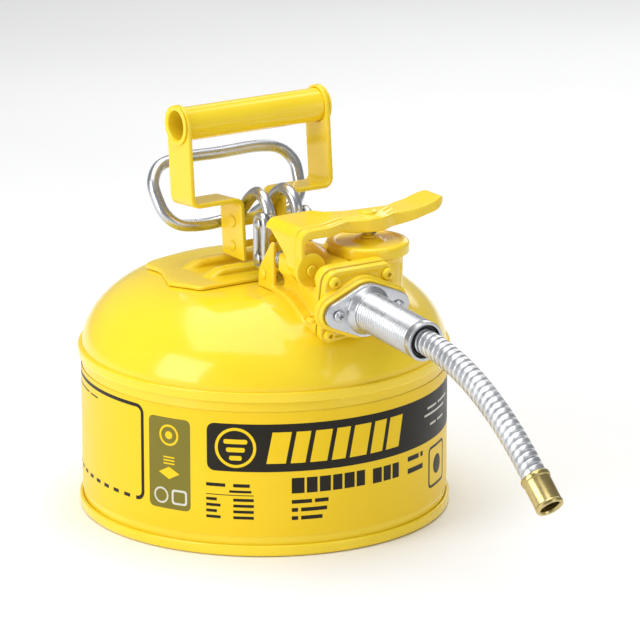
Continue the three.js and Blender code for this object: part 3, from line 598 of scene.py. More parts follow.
def make_hose():
    centre = spline(HOSE_ROUTE, 40)
    hose = piece(sweep(centre, hose_ribs, 48), "flexible_hose", HOSE_METAL, "can", ["hose"], 60)
    (x0, _, z0), (x1, _, z1) = HOSE_ROUTE[-2:]
    end = pour_frame(Vector((x1, 0, z1)), math.atan2(z0 - z1, x1 - x0))
    r, length_over = FERRULE_R, FERRULE_LEN
    outside = turned(
        [(0, GAP), (r, GAP), (r, 3.4), (r - 0.7, 3.9), (r - 0.7, length_over - 2.6),
         (r - 0.25, length_over - 1.8), (r - 0.9, length_over), (r - 2.4, length_over),
         (r - 3.2, length_over - 1.4), (r - 3.2, 4), (0, 4)],
        [0, 0.8, 0.5, 0.3, 0.6, 0.4, 0.5, 0.5, 0.8, 0.4, 0], 4, 72, end)
    ferrule = piece(outside, "brass_ferrule", BRASS, "can", ["hose_ferrule"])


make_hose()


# ---- can
def dome_height(r, offset=0.0):
    """Outside of the dome: a flat crown and a full round shoulder."""
    s = min(max((r - DOME_FLAT_R) / (CAN_R - 0.1 - DOME_FLAT_R), 0), 1)
    return SEAM_TOP + DOME_RISE * (1 - s**DOME_POWER) ** (1 / DOME_POWER) + offset


def dome_radii(steps):
    """Radii from the edge to the crown, close together where the shoulder is steep."""
    edge = CAN_R - 0.1
    turns = [math.pi / 2 * k / steps for k in range(steps + 1)]
    return [DOME_FLAT_R + (edge - DOME_FLAT_R) * math.cos(t) ** (2 / DOME_POWER) for t in turns]


def dome_solid(offset, segs=144):
    """The solid under the dome's outside, moved out by offset."""
    side = [(r + offset, dome_height(r, offset)) for r in dome_radii(28)]
    side[0] = (side[0][0], SEAM_TOP + offset)
    base = [(0, 60), (side[0][0], 60)]
    return solid(lathe([*base, *side, (0, dome_height(0, offset))], segs))


def smooth_step(value):
    t = min(max(value, 0), 1)
    return t * t * (3 - 2 * t)


def pressed_rise(x, y):
    """Height of the pressed platform that fans out round the foot of the manifold."""
    left = smooth_step((y + 50 - 0.30 * max(x - 88, 0)) / 9)
    right = smooth_step((56 - y) / 12)
    rear = smooth_step((x - 46 - 0.10 * abs(y)) / 14)
    fade = 1 - smooth_step((math.hypot(x, y) - 103) / 11)
    under_manifold = smooth_step((19 - abs(y)) / 4) * smooth_step((101 - x) / 5)
    return PRESSED_H * left * right * rear * fade * (1 - under_manifold)


def make_dome():
    """Dome with its folded seam; the outside carries the pressed platform."""
    bead = fillet([(CAN_R + 0.2, SEAM_TOP - 0.2), (CHIME_R, SEAM_TOP + 0.4), (CHIME_R, SEAM_LOW),
                   (CAN_R + 0.25, SEAM_LOW)], [0, 2.6, 2.2, 0], 7, False)
    outside = [(r, dome_height(r)) for r in dome_radii(44)][::-1]
    crown = [(0, SEAM_TOP + DOME_RISE)] + [(r, SEAM_TOP + DOME_RISE) for r in (12, 24, 36, 48)]
    inside = [(r - 1.2, dome_height(r) - 1.0) for r in dome_radii(20)]
    inner_crown = [(0, SEAM_TOP + DOME_RISE - 1)]
    lip = [(CAN_R + 0.25, SEAM_LOW + 1.4), (CAN_R - 1.4, SEAM_LOW + 1.4)]
    profile = [*crown, *outside, *bead, *lip, *inside, *inner_crown]
    bm = lathe(profile, 216)
    for vertex in bm.verts:
        x, y, z = vertex.co
        r = math.hypot(x, y)
        if r < CAN_R and z > dome_height(r) - 0.6:
            vertex.co.z += pressed_rise(x, y)
    dome = cut(solid(bm), rod(12.7, 140, 160, at(POUR_X, 0)), rod(3.95, 120, 165, at(*VENT)),
               rod(16.1, 120, 170, FILL_AXIS))
    piece(dome, "dome", YELLOW, "can", ["dome_top"], 50)


def make_wall():
    """Drawn wall with its lap weld at the back."""
    top = SEAM_LOW + 1.1
    profile = fillet([(CAN_R - 1, 6.6), (CAN_R, 6.6), (CAN_R, top), (CAN_R - 1, top)], 0.3, 3)
    piece(lathe(profile, 216), "wall", YELLOW, "can", ["body_shell"])
    lap = []
    for k in range(7):
        t = math.radians(151) + (k - 3) * math.radians(0.32)
        lap.append(((CAN_R - 0.1) * math.cos(t), (CAN_R - 0.1) * math.sin(t)))
    lap += [(x * 1.0035, y * 1.0035) for x, y in lap[::-1]]
    seam = bevelled(solid(prism(lap, 8, SEAM_LOW - 0.3)), 0.12, 2)
    piece(seam, "side_weld", YELLOW, "can")


def make_pan():
    """Bottom with its rolled chime and a raised centre pad."""
    profile = fillet([
        (0, 1.8), (66, 1.8), (70, 4.2), (111, 4.2), (114.9, 0), (CHIME_R, 0), (CHIME_R, 7.4),
        (CAN_R + 0.25, 7.4), (CAN_R + 0.25, 6.3), (CAN_R - 1.3, 6.3), (CAN_R - 1.3, 3),
        (112.3, 5.2), (69.5, 5.2), (65.5, 2.8), (0, 2.8)],
        [0, 2, 2, 3, 2, 2.4, 2.4, 0.3, 0.3, 0.5, 1.5, 3, 2, 2, 0], 6, False)
    piece(lathe(profile, 216), "bottom", YELLOW, "can", ["bottom_pan"])


make_dome()
make_wall()
make_pan()

# ---- printed label
LABEL_R = CAN_R + 0.55
LABEL_LOW, LABEL_TOP = 13, 95
LABEL_FROM, LABEL_TO = math.radians(-130), math.radians(60)


def wrapped(bm, lift):
    """Wrap a flat drawing in (length along the wall, height) round the can."""
    step = 3.0
    low = min(v.co.x for v in bm.verts)
    high = max(v.co.x for v in bm.verts)
    for k in range(math.ceil(low / step), math.floor(high / step) + 1):
        everything = bm.verts[:] + bm.edges[:] + bm.faces[:]
        bmesh.ops.bisect_plane(bm, geom=everything, plane_co=(k * step, 0, 0), plane_no=(1, 0, 0))
    radius = LABEL_R + lift
    for vertex in bm.verts:
        s, height, depth = vertex.co
        t = s / LABEL_R
        vertex.co = ((radius + depth) * math.cos(t), (radius + depth) * math.sin(t), height)
    return bm


def print_layer(bm, lift, name, material):
    """A thin closed layer of ink on the label."""
    layer = solid(wrapped(bm, lift))
    shell = layer.modifiers.new("ink", "SOLIDIFY")
    shell.thickness = 0.03 * MM
    shell.offset = 0
    piece(apply_modifiers(layer), name, material, "can", crease=60)


def patch(bm, outline):
    """A filled flat shape of the drawing."""
    bm.faces.new([bm.verts.new((x, y, 0)) for x, y in outline])


def ring_band(bm, outer, inner):
    """A flat band between two outlines with as many points each."""
    a = [bm.verts.new((x, y, 0)) for x, y in outer]
    b = [bm.verts.new((x, y, 0)) for x, y in inner]
    skin(bm, a, b)


def box(x0, y0, x1, y1, radius=0.0):
    """A rectangle with round corners."""
    corners = [(x0, y0), (x1, y0), (x1, y1), (x0, y1)]
    return [p[:2] for p in fillet(corners, radius, 5)] if radius else corners


def circle(x, y, r, count=40):
    return arc(x, y, r, r, 0, 2 * math.pi, count)[:-1]


def bars(bm, x, y, widths, height, space, slant=0.0):
    """A row of plain bars, leaning by slant."""
    for width in widths:
        right, high = x + width, y + height
        patch(bm, [(x, y), (right, y), (right + slant, high), (x + slant, high)])
        x = right + space




def make_label():
    """The wrap label: a generic layout of frame, panels and plain blocks in place of any print."""
    sheet = prism(box(LABEL_FROM * LABEL_R, LABEL_LOW, LABEL_TO * LABEL_R, LABEL_TOP, 5), 0, 0.2)
    piece(wrapped(sheet, -0.2), "label_film", LABEL, "can", ["label_sheet"], 60)

    black = bmesh.new()
    ring_band(black, box(-262, 28, -150, 92, 6), box(-259.6, 30.4, -152.4, 89.6, 3.8))
    patch(black, box(-104, 56, 120, 87.4, 5))
    rows = [(-50, 41.4, [8.2, 7, 7.4, 6.4, 7.2, 6.2], 10.2, 1.5),
            (6, 41, [7.2, 6.2, 5.8], 9.9, 1.5), (-50, 34.6, [13, 9], 2.5, 2),
            (-50, 29.2, [4, 17], 2.5, 2), (-50, 23.8, [4, 14], 2.5, 2),
            (-104.6, 45.6, [12.5], 2.2, 0), (-87, 45.6, [10.5], 2.2, 0),
            (-89.5, 41.9, [14], 1.6, 0), (-104.6, 40.0, [30.6], 0.5, 0)]
    for row in range(4):
        y = 36.2 - 3.9 * row
        rows += [(-104.6, y, [7 + row % 2 * 2.4], 1.9, 0), (-87, y, [13], 1.9, 0)]
    rows += [(37, 48.6, [12, 3], 3.2, 2), (37, 40.4, [17], 3.4, 2)]
    for row in rows:
        bars(black, *row)
    ring_band(black, box(62, 23, 90, 51, 4), box(63.8, 24.8, 88.2, 49.2, 2.6))
    patch(black, circle(76, 37, 6.5))
    bars(black, -244, 84.5, [30, 12], 1.0, 3)
    print_layer(black, 0.05, "print_black", INK_BLACK)

    gaps = bmesh.new()
    for k in range(9):
        patch(gaps, box(-253 + 11.3 * k, 27.6, -247.6 + 11.3 * k, 30.8))
    print_layer(gaps, 0.1, "print_gaps", LABEL)

    olive = bmesh.new()
    patch(olive, box(-145.6, 26.6, -115.2, 87, 3.6))
    print_layer(olive, 0.05, "print_olive", INK_OLIVE)

    bright = bmesh.new()
    ring_band(bright, circle(-85.5, 71.7, 13.2), circle(-85.5, 71.7, 11.3))
    for row, half in enumerate((7.6, 6.0, 4.0)):
        patch(bright, box(-85.5 - half, 74.2 - 5.4 * row, -85.5 + half, 77.2 - 5.4 * row, 1.2))
    bars(bright, -66, 61.5, [12.2, 9.4, 11.2, 9.4, 12.2, 9.4, 11.2], 20.6, 3.1, 4)
    ring_band(bright, circle(-130.4, 75.5, 7), circle(-130.4, 75.5, 5.6))
    patch(bright, circle(-130.4, 75.5, 2.6, 24))
    patch(bright, [(-138, 50.5), (-130.4, 46.4), (-122.8, 50.5), (-130.4, 54.6)])
    for row in range(3):
        bars(bright, -134.5, 60.4 - 2.1 * row, [8.2], 0.9, 0)
    print_layer(bright, 0.1, "print_yellow", INK_YELLOW)

    pale = bmesh.new()
    ring_band(pale, circle(-136.4, 35, 5.4), circle(-136.4, 35, 4.2))
    ring_band(pale, box(-128.6, 30, -117.6, 40, 2), box(-127.2, 31.4, -119, 38.6, 1.2))
    for x, y, widths in ((60, 77.5, [14, 20]), (56, 73.2, [34]), (64, 66, [9, 12])):
        bars(pale, x, y, widths, 1.4, 3)
    print_layer(pale, 0.1, "print_pale", INK_WHITE)


make_label()


# ---- handle
HANDLE_FRAME = (at(HANDLE_X, 0, LEG_FOOT_Z) @ Matrix.Rotation(-HANDLE_TILT, 4, "Y")
                @ at(0, 0, -LEG_FOOT_Z))


def make_bracket():
    """Plate welded to the crown, with two pressed bridges under the legs."""
    half = [(-56, -58), (-28, -61), (-10, -68), (-2, -71), (22, -61)]
    radii = [8, 20, 14, 8, 5]
    outline = fillet([*half, *[(x, -y) for x, y in half[::-1]]], [*radii, *radii[::-1]], 4)
    plate = common(solid(prism(outline, 120, 170)), dome_solid(2.7))
    plate = cut(plate, dome_solid(GAP), solid(prism(box(-17.5, -26, -4.5, 26, 4), 100, 175)))

    def bridge_section(_along, t):
        return 1 / math.hypot(math.cos(t) / 5.6, math.sin(t) / 2.9)

    spine = fillet([(-50, 153.4), (-36, 160.0), (36, 160.0), (50, 153.4)], 14, 8, False)
    for x in (2, -23):
        bar = solid(sweep([(x, y, z) for y, z, *_ in spine], bridge_section, 32))
        plate = joined(plate, cut(bar, dome_solid(GAP)))
    piece(soften(plate, 0.6, 5), "handle_foot_plate", YELLOW, "can",
          ["handle_bracket"], NO_EDGES)


def make_strap(side, name, node):
    """One side of the handle: leg, step out, upright and the round eye of the grip."""
    half = STRAP_T / 2
    top = GRIP_Z - 6

    def offset(d):
        bend = STRAP_BEND_Z + d
        return fillet([(LEG_Y - d, LEG_FOOT_Z - 3), (LEG_Y - d, bend), (STRAP_Y - d, bend),
                       (STRAP_Y - d, top)], [0, 5 + d, 5 - d, 0], 7, False)

    outline = [(side * y, z) for y, z in [*offset(half), *offset(-half)[::-1]]]
    strap = solid(prism_x(outline, -STRAP_W / 2, STRAP_W / 2, HANDLE_FRAME))
    crown = arc(0, GRIP_Z, STRAP_W / 2, STRAP_W / 2, 0, math.pi, 32)
    eye_outline = [(STRAP_W / 2, top - 1), *crown, (-STRAP_W / 2, top - 1)]
    low, high = sorted((side * (STRAP_Y - half), side * (STRAP_Y + half)))
    strap = joined(strap, solid(prism_y(eye_outline, low, high, HANDLE_FRAME)))
    grip_bore = HANDLE_FRAME @ along_y(0, GRIP_Z)
    strap = cut(strap, rod(GRIP_R + 0.2, -60, 60, grip_bore), rod(80, 150, LEG_FOOT_Z),
                rod(2.6, -60, 60, PIVOT_AXIS), rod(2.4, -60, 60, SPACER_AXIS))
    piece(soften(strap, 0.55, 3), name, YELLOW, "can", [node], NO_EDGES)


def make_grip():
    """Hollow grip, flared over the straps at both ends."""
    lip = STRAP_Y + STRAP_T / 2 + GAP
    outer = [(GRIP_R, lip - 0.1), (GRIP_LIP_R, lip), (GRIP_LIP_R, GRIP_HALF - 0.2),
             (GRIP_R - 1.6, GRIP_HALF - 0.2), (GRIP_R - 1.7, 50)]
    profile = fillet([*outer, *[(r, -z) for r, z in outer[::-1]]],
                     [0.3, 0.7, 1.2, 1.6, 0, 0, 1.6, 1.2, 0.7, 0.3], 6)
    grip = lathe(profile, 96, HANDLE_FRAME @ along_y(0, GRIP_Z))
    piece(grip, "hand_grip", YELLOW, "can", ["grip_tube"], 60)


def coil(helix, frame_, wire, name, body, node):
    """A spring wound along a frame's Z axis."""
    path = [frame_ @ p for p in coil_path(*helix)]
    return piece(sweep(path, wire, 12), name, SPRING_STEEL, body, [node], 60)


def headed_pin(r, half, head_r, head_t, matrix, segs=40):
    """A pin with a domed head at both ends."""
    dome = arc(0, 0, head_r, head_t, 0, math.pi / 2, 6)
    upper = [(r, half), *[(x, half + z) for x, z in dome[:-1]], (0, half + head_t)]
    profile = [*[(x, -z) for x, z in upper[::-1]], *upper]
    return lathe(profile, segs, matrix)


def make_rods():
    leg_out = LEG_Y + STRAP_T / 2 + GAP
    pivot = headed_pin(2.4, leg_out, 4, 0.9, PIVOT_AXIS)
    spacer = headed_pin(2.2, leg_out, 3.6, 0.8, SPACER_AXIS)
    piece(pivot, "pivot_rod", YELLOW, "can", ["trigger_pivot_rod"])
    piece(spacer, "spacer_rod", YELLOW, "can", ["handle_spacer_rod"])


make_bracket()
make_strap(-1, "strap_left", "handle_strap_left")
make_strap(1, "strap_right", "handle_strap_right")
make_grip()
make_rods()


# ---- trigger and linkage
def make_trigger():
    """Bent wire loop behind the grip whose two arms arch over the pivot to the link pin."""
    half = [
        (-55, 0, 221.5), (-55, 34, 221.5), (-53, 47, 218.4), (-48.2, 54, 209.8), (-43, 54, 200.4),
        (-37.5, 51.5, 191), (-33.6, 44, 184.4), (-32.2, 32, 182.1), (-32, 20, 181.8),
        (-30.2, 12, 183), (-25, 9.5, 186), (-17.5, 9.4, 190.6), (-10, 9.4, 195.5),
        (-1, 9.7, 204.2), (8, 10, 209.6), (16.5, 10.4, 208), (22, 10.6, 201.6),
        (EYE.x - 0.1, EYE.y, 196.6)]
    path = [(x, -y, z) for x, y, z in half[:0:-1]] + half
    wire = solid(sweep(spline(path, 6), WIRE_R, 28))
    for side in (-1, 1):
        eye = fillet([(-4.2, 5.5), (4.2, 5.5), (4.2, -4.6), (-4.2, -4.6)], [1, 1, 4.1, 4.1], 8)
        flat = prism_y(eye, -2.3, 2.3, at(EYE.x, side * EYE.y, EYE.z))
        wire = joined(wire, bevelled(solid(flat), 0.5, 3))
    hole = rod(PIN_R + 0.2, -30, 30, EYE_AXIS)
    sleeve_seat = rod(4.1, -15, 15, PIVOT_AXIS)
    wire = cut(wire, hole, sleeve_seat)
    piece(wire, "trigger_loop", ZINC, "trigger", ["trigger_wire"], 50)
    sleeve = fillet([(2.7, -14), (3.9, -14), (3.9, 14), (2.7, 14)], 0.4, 3)
    piece(lathe(sleeve, 48, PIVOT_AXIS), "pivot_sleeve", YELLOW, "trigger", ["trigger_sleeve"])


def link_path():
    """Middle line of a link: two half circles round the pins, joined by nearly straight sides."""
    inner = PIN_R + 0.5 + LINK_WIRE
    length = EYE.z - LINK_LOW.z
    turn = Matrix.Rotation(math.atan2(EYE.x - LINK_LOW.x, length), 4, "Y")
    top = arc(0, length, inner, inner, 0, math.pi, 12)
    low = arc(0, 0, inner, inner, math.pi, 2 * math.pi, 12)
    left, right = (-inner * 0.92, length / 2), (inner * 0.92, length / 2)
    return [turn @ Vector((x, 0, z)) for x, z in [*top, left, *low, right]]


def make_links():
    reach = LINK_Y + LINK_WIRE + GAP
    for side, hand in ((-1, "left"), (1, "right")):
        path = [p + Vector((LINK_LOW.x, side * LINK_Y, LINK_LOW.z)) for p in link_path()]
        wire = sweep(spline(path, 3, True), LINK_WIRE, 20, True)
        piece(wire, f"wire_link_{hand}", ZINC, "links", [f"link_{hand}"])
    for height, axis, body in (("upper", EYE_AXIS, "trigger"), ("lower", LINK_AXIS, "rocker")):
        pin = headed_pin(PIN_R, reach, 3.4, 1.2, axis)
        piece(pin, f"{height}_link_pin", STEEL, body, [f"link_pin_{height}"])


def on_axis(d):
    """Point on the valve axis, d behind the cover plate's outer face."""
    return PLATE_FRAME @ Vector((0, 0, -d))


STEM_END = (PLATE_POS.x - ROCKER.x) / math.cos(VALVE_TILT)
STEM_PIN = on_axis(STEM_END)
STEM_PIN_AXIS = along_y(STEM_PIN.x, STEM_PIN.z)


def make_rocker():
    """Bellcrank: two arms to the links and a slotted fork round the valve stem."""
    hub = rod(3.5, -12.7, 12.7, ROCKER_AXIS)
    x0, z0, x1, z1 = LINK_LOW.x, LINK_LOW.z, ROCKER.x, ROCKER.z
    arm = fillet([(x0 - 4, z0 - 4), (x0 - 4, z0 + 4), (x0 + 6, z0 + 4), (x1 + 3.5, z1 + 3.5),
                  (x1 + 3.5, z1 - 3.5), (x1 - 6, z1 - 3.5)], 3.4, 6)
    fork = box(x1 - 3.4, z1, x1 + 3.4, STEM_PIN.z + 3.6, 1.2)
    parts = []
    for side in (-1, 1):
        parts.append(solid(prism_y(arm, side * 10.7 - 2, side * 10.7 + 2)))
        parts.append(solid(prism_y(fork, side * 5 - 1.5, side * 5 + 1.5)))
    slot = solid(prism_y(box(x1 - 1.9, STEM_PIN.z - 3.2, x1 + 1.9, STEM_PIN.z + 5), -10, 10))
    rocker = cut(joined(hub, *parts), slot, rod(PIN_R + 0.2, -40, 40, ROCKER_AXIS),
                 rod(PIN_R + 0.2, -40, 40, LINK_AXIS))
    piece(soften(rocker, 0.3, 2), "bellcrank", STEEL, "rocker", ["rocker"], NO_EDGES)
    piece(headed_pin(PIN_R, 23.9, 3.6, 1.2, ROCKER_AXIS), "bellcrank_pin", YELLOW,
          "can", ["rocker_pin"])


make_trigger()
make_links()
make_rocker()

# ---- manifold
EAR_Y0, EAR_Y1 = 20.8, 23.6
EAR = [(29.5, 153), (30.5, 166.5), (45.2, 187.5), (48.6, 186), (48.6, 153)]
CHAMBER_BACK = 62
SKIRT_T = 3.6
BASE_SCREWS = [(96, -25), (97, 46), (64, 53.5)]
COVER_SCREWS = [(-1, -1), (-1, 1), (1, -1), (1, 1)]
SHELF = PLATE_T + 2 * GAP + GASKET_T


def screw_seat(x, y):
    return dome_height(math.hypot(x, y) - 5, SKIRT_T)


def plate_pad(half_y, half_x, d0, d1, r):
    """Rectangle with round corners in the cover plate's frame."""
    return solid(prism(box(-half_x, -half_y, half_x, half_y, r), d0, d1, PLATE_FRAME))


def axis_rod(r, d0, d1):
    return rod(r, d0, d1, PLATE_FRAME, 64)


def cover_screw_frames():
    return [PLATE_FRAME @ at(-z * SCREW_Z, y * SCREW_Y) for y, z in COVER_SCREWS]


def cover_screw_holes(depth):
    return [rod(2.0, depth, 5, frame_, 24) for frame_ in cover_screw_frames()]


def flange_screw_frames():
    return [SOCKET_FRAME @ at(0, side * FLANGE_SCREW_Y) for side in (-1, 1)]


def flange_screw_holes(r, z0, z1):
    return [rod(r, z0, z1, frame_) for frame_ in flange_screw_frames()]


def manifold_block():
    """The outside of the casting before it is bored."""
    chamber = solid(lathe(fillet([
        (0, -CHAMBER_BACK - 5), (13, -CHAMBER_BACK - 5), (16.5, -CHAMBER_BACK - 2), (17.5, -42),
        (19.5, -26), (21.5, -SHELF - 3), (0, -SHELF - 3)], [0, 2, 2, 8, 8, 1, 0], 5, False), 64,
        PLATE_FRAME))
    foot = [(31, -22), (92, -30), (104, -20), (104, 40), (92, 56), (58, 58), (31, 22)]
    skirt = common(solid(prism(fillet(foot, 8, 6), 125, 158.5)), dome_solid(SKIRT_T))
    hump = [(46, -17), (100, -22), (100, 40), (84, 50), (60, 48), (46, 17)]
    body = common(solid(prism(fillet(hump, 9, 6), 130, 166)), dome_solid(13))
    neck = solid(lathe([(0, 130), (20.5, 130), (NECK_R - 0.6, 160), (NECK_R, NECK_TOP - 2),
                        (NECK_R + 1.4, NECK_TOP - 1), (NECK_R + 1.4, NECK_TOP), (0, NECK_TOP)], 96,
                       FILL_AXIS))
    lug = solid(prism_x(fillet([(-27.5, HINGE_Z - 6), (-27.5, HINGE_Z + 6), (-15.5, HINGE_Z + 6),
                                (2, 168), (2, 158), (-14, 158)], 4, 6), LUG_X0, LUG_X1))
    ears = [solid(prism_y(EAR, *sorted((side * EAR_Y0, side * EAR_Y1)))) for side in (-1, 1)]
    pad = plate_pad(26, 24.5, -SHELF - 7, -SHELF, 8)
    return fused([pad, chamber, skirt, body, neck, lug, *ears], 0.8)


def make_manifold():
    """Casting with the pour chamber, the fill neck, the hinge lug and the ears of the bellcrank."""
    def along_hinge(r, x0, x1):
        return rod(r, x0, x1, HINGE_AXIS)

    well = [(20, 158.9), (20, 190), (on_axis(67).x, 190), (on_axis(67).x, 158.9)]
    neck_bore = solid(lathe([(0, 120), (15.6, 120), (15.6, 160), (NECK_BORE, 160),
                             (NECK_BORE, NECK_TOP + 5), (0, NECK_TOP + 5)], 72, FILL_AXIS))
    block = bored(manifold_block(), [
        dome_solid(GAP), plate_pad(60, 60, -SHELF, 60, 8),
        rod(CAP_R + 1.2, NECK_TOP, 200, FILL_AXIS),
        along_hinge(8.4, 49, LUG_X0), along_hinge(8.5, LUG_X1, 100), along_hinge(11.4, 86, 100),
        axis_rod(17, -26, 10), axis_rod(13.5, -CHAMBER_BACK, -25),
        axis_rod(3.7, -CHAMBER_BACK - 12, 0),
        neck_bore, along_hinge(2.9, LUG_X0 - 2, LUG_X1 + 2), rod(15.2, 140, 160, at(POUR_X, 0)),
        rod(PIN_R + 0.3, -40, 40, ROCKER_AXIS), solid(prism_y(well, -EAR_Y0, EAR_Y0)),
        *[rod(5.2, screw_seat(x, y), 175, at(x, y)) for x, y in BASE_SCREWS],
        *cover_screw_holes(-16)])
    piece(soften(block, 0.6, 6), "manifold_casting", CAST_YELLOW, "can",
          ["manifold_body"], NO_EDGES)


def screw_body(r, length, head_r, head_t, drive, matrix):
    """A screw whose domed head stands on local z = 0 and has a drive cut into it."""
    dome = [(head_r * math.cos(t) ** 0.6, 0.45 * head_t + 0.55 * head_t * math.sin(t))
            for t in [math.pi / 2 * k / 7 for k in range(8)]]
    profile = [(0, -length), (r, -length), (r, 0), (head_r, 0), *dome[:-1], (0, head_t)]
    body = solid(lathe(profile, 40, matrix))
    return cut(body, solid(prism(drive, head_t * 0.35, head_t + 1, matrix)))


HEX = arc(0, 0, 1.75, 1.75, 0, 2 * math.pi, 6)[:-1]
CROSS = [(0.5, 0.5), (0.5, 2), (-0.5, 2), (-0.5, 0.5), (-2, 0.5), (-2, -0.5),
         (-0.5, -0.5), (-0.5, -2), (0.5, -2), (0.5, -0.5), (2, -0.5), (2, 0.5)]


def make_base_screws():
    for i, (x, y) in enumerate(BASE_SCREWS, 1):
        body = screw_body(1.8, 3, 4, 2.6, HEX, at(x, y, screw_seat(x, y) + GAP))
        piece(body, f"foot_screw_{i}", YELLOW, "can", [f"base_screw_{i}"])


make_manifold()
make_base_screws()


# ---- pour side
def flange_outline(grow, steps=14):
    """Oval outline of the two-bolt flange: a large arc and one round each screw."""
    big, small = 17.5 + grow, 8.6 + grow
    tangent = math.acos((big - small) / FLANGE_SCREW_Y)

    def bend(r, cy, start, end):
        return [(x, y) for y, x in arc(cy, 0, r, r, start, end, steps)]

    return [*bend(small, FLANGE_SCREW_Y, -tangent, tangent),
            *bend(big, 0, tangent, math.pi - tangent)[1:-1],
            *bend(small, -FLANGE_SCREW_Y, math.pi - tangent, math.pi + tangent),
            *bend(big, 0, math.pi + tangent, 2 * math.pi - tangent)[1:-1]]


FLANGE_SEAT = -(FLANGE_T + 2 * GAP + GASKET_T)


def make_cover():
    """Cover plate with a raised border, four screw bosses and the seat of the flange."""
    rim = cut(plate_pad(26, 24.5, -PLATE_T, 0, 8), plate_pad(22.6, 21.1, -20, 1, 5.5))
    panel = plate_pad(25, 23.5, -PLATE_T, -0.9, 8)
    bosses = [rod(5.4, -PLATE_T, 0, frame_) for frame_ in cover_screw_frames()]
    seat = solid(prism(flange_outline(1.0), -11, FLANGE_SEAT, SOCKET_FRAME))
    step = solid(prism(flange_outline(3.0), -11, FLANGE_SEAT - 2.6, SOCKET_FRAME))
    plate = bored(fused([rim, panel, *bosses, seat, step], 0.55), [
        axis_rod(60, -30, -PLATE_T), dome_solid(2 * GAP), rod(9, -20, 20, SOCKET_FRAME),
        *cover_screw_holes(-10), *flange_screw_holes(1.9, -11, 0)])
    piece(soften(plate, 0.45, 5), "cover_plate", CAST_YELLOW, "can",
          ["pour_cover_plate"], NO_EDGES)
    for i, (frame_, (_, z)) in enumerate(zip(cover_screw_frames(), COVER_SCREWS), 1):
        body = screw_body(1.6, 9 if z < 0 else 12, 3.9, 3, HEX, frame_ @ at(0, 0, GAP))
        piece(body, f"cover_plate_screw_{i}", YELLOW, "can", [f"cover_screw_{i}"])


def make_flange():
    """Zinc flange and its finely ridged socket tube."""
    plate = bevelled(solid(prism(flange_outline(0), -FLANGE_T, 0, SOCKET_FRAME)), 0.5, 3)
    plate = cut(plate, rod(6.8, -10, 5, SOCKET_FRAME), *flange_screw_holes(2.1, -12, 5))
    piece(plate, "socket_flange", ZINC, "can", ["hose_flange"], 30)
    pitch, depth, per_ridge = 2.3, 0.6, 8
    start, end = 5.5, SOCKET_LEN - 5
    count = int((end - start) / pitch) * per_ridge
    ridges = [(SOCKET_R - depth * (1 - math.cos(2 * math.pi * k / per_ridge)) / 2,
               start + (end - start) * k / count) for k in range(count + 1)]
    foot = fillet([(SOCKET_R + 3.2, -0.6), (SOCKET_R + 3.2, 0.2), (SOCKET_R + 2.2, 1.6),
                   (SOCKET_R, 4.2), (SOCKET_R, 5.2)], [0, 0.4, 1.5, 1.5, 0], 5, False)
    mouth = fillet([(SOCKET_R, end + 0.6), (SOCKET_R, SOCKET_LEN), (SOCKET_BORE, SOCKET_LEN),
                    (SOCKET_BORE, SOCKET_LEN - 3)], [0, 0.6, 0.6, 0], 4, False)
    profile = [*foot, *ridges, *mouth, (SOCKET_BORE, 0.7), (7, 0.7), (7, -0.6)]
    piece(lathe(profile, 96, SOCKET_FRAME), "ridged_socket", ZINC, "can", crease=70)
    for i, frame_ in enumerate(flange_screw_frames(), 1):
        body = screw_body(1.5, 10, 3.7, 2.6, CROSS, frame_ @ at(0, 0, GAP))
        piece(body, f"socket_screw_{i}", ZINC, "can", [f"flange_screw_{i}"])
    inner, outer, back, front = HOSE_R + 0.4, SOCKET_BORE - 0.2, SOCKET_LEN - 5, SOCKET_LEN - 2
    ring = fillet([(inner, back), (outer, back), (outer, front), (inner, front)], 0.7, 4)
    piece(lathe(ring, 72, SOCKET_FRAME), "hose_seal_ring", RUBBER, "can", ["mouth_ring"])


def make_gaskets():
    # Both seals take the darkened yellow: real paint over rubber, darkened as painted shade for the
    # shadowed gap line.
    gasket = cut(plate_pad(25.6, 24.1, -SHELF + GAP, -PLATE_T - GAP, 8), axis_rod(17.3, -20, 10),
                 dome_solid(2 * GAP), *cover_screw_holes(-10))
    piece(gasket, "cover_seal", YELLOW_SEAL_WITH_PAINTED_SHADE, "can", ["cover_gasket"])
    back = -FLANGE_T - GAP - GASKET_T
    gasket = cut(solid(prism(flange_outline(0.2), back, back + GASKET_T, SOCKET_FRAME)),
                 rod(9, -20, 20, SOCKET_FRAME), *flange_screw_holes(2.2, -12, 5))
    piece(gasket, "flange_seal", YELLOW_SEAL_WITH_PAINTED_SHADE, "can", ["flange_gasket"])


make_cover()
make_flange()
make_gaskets()


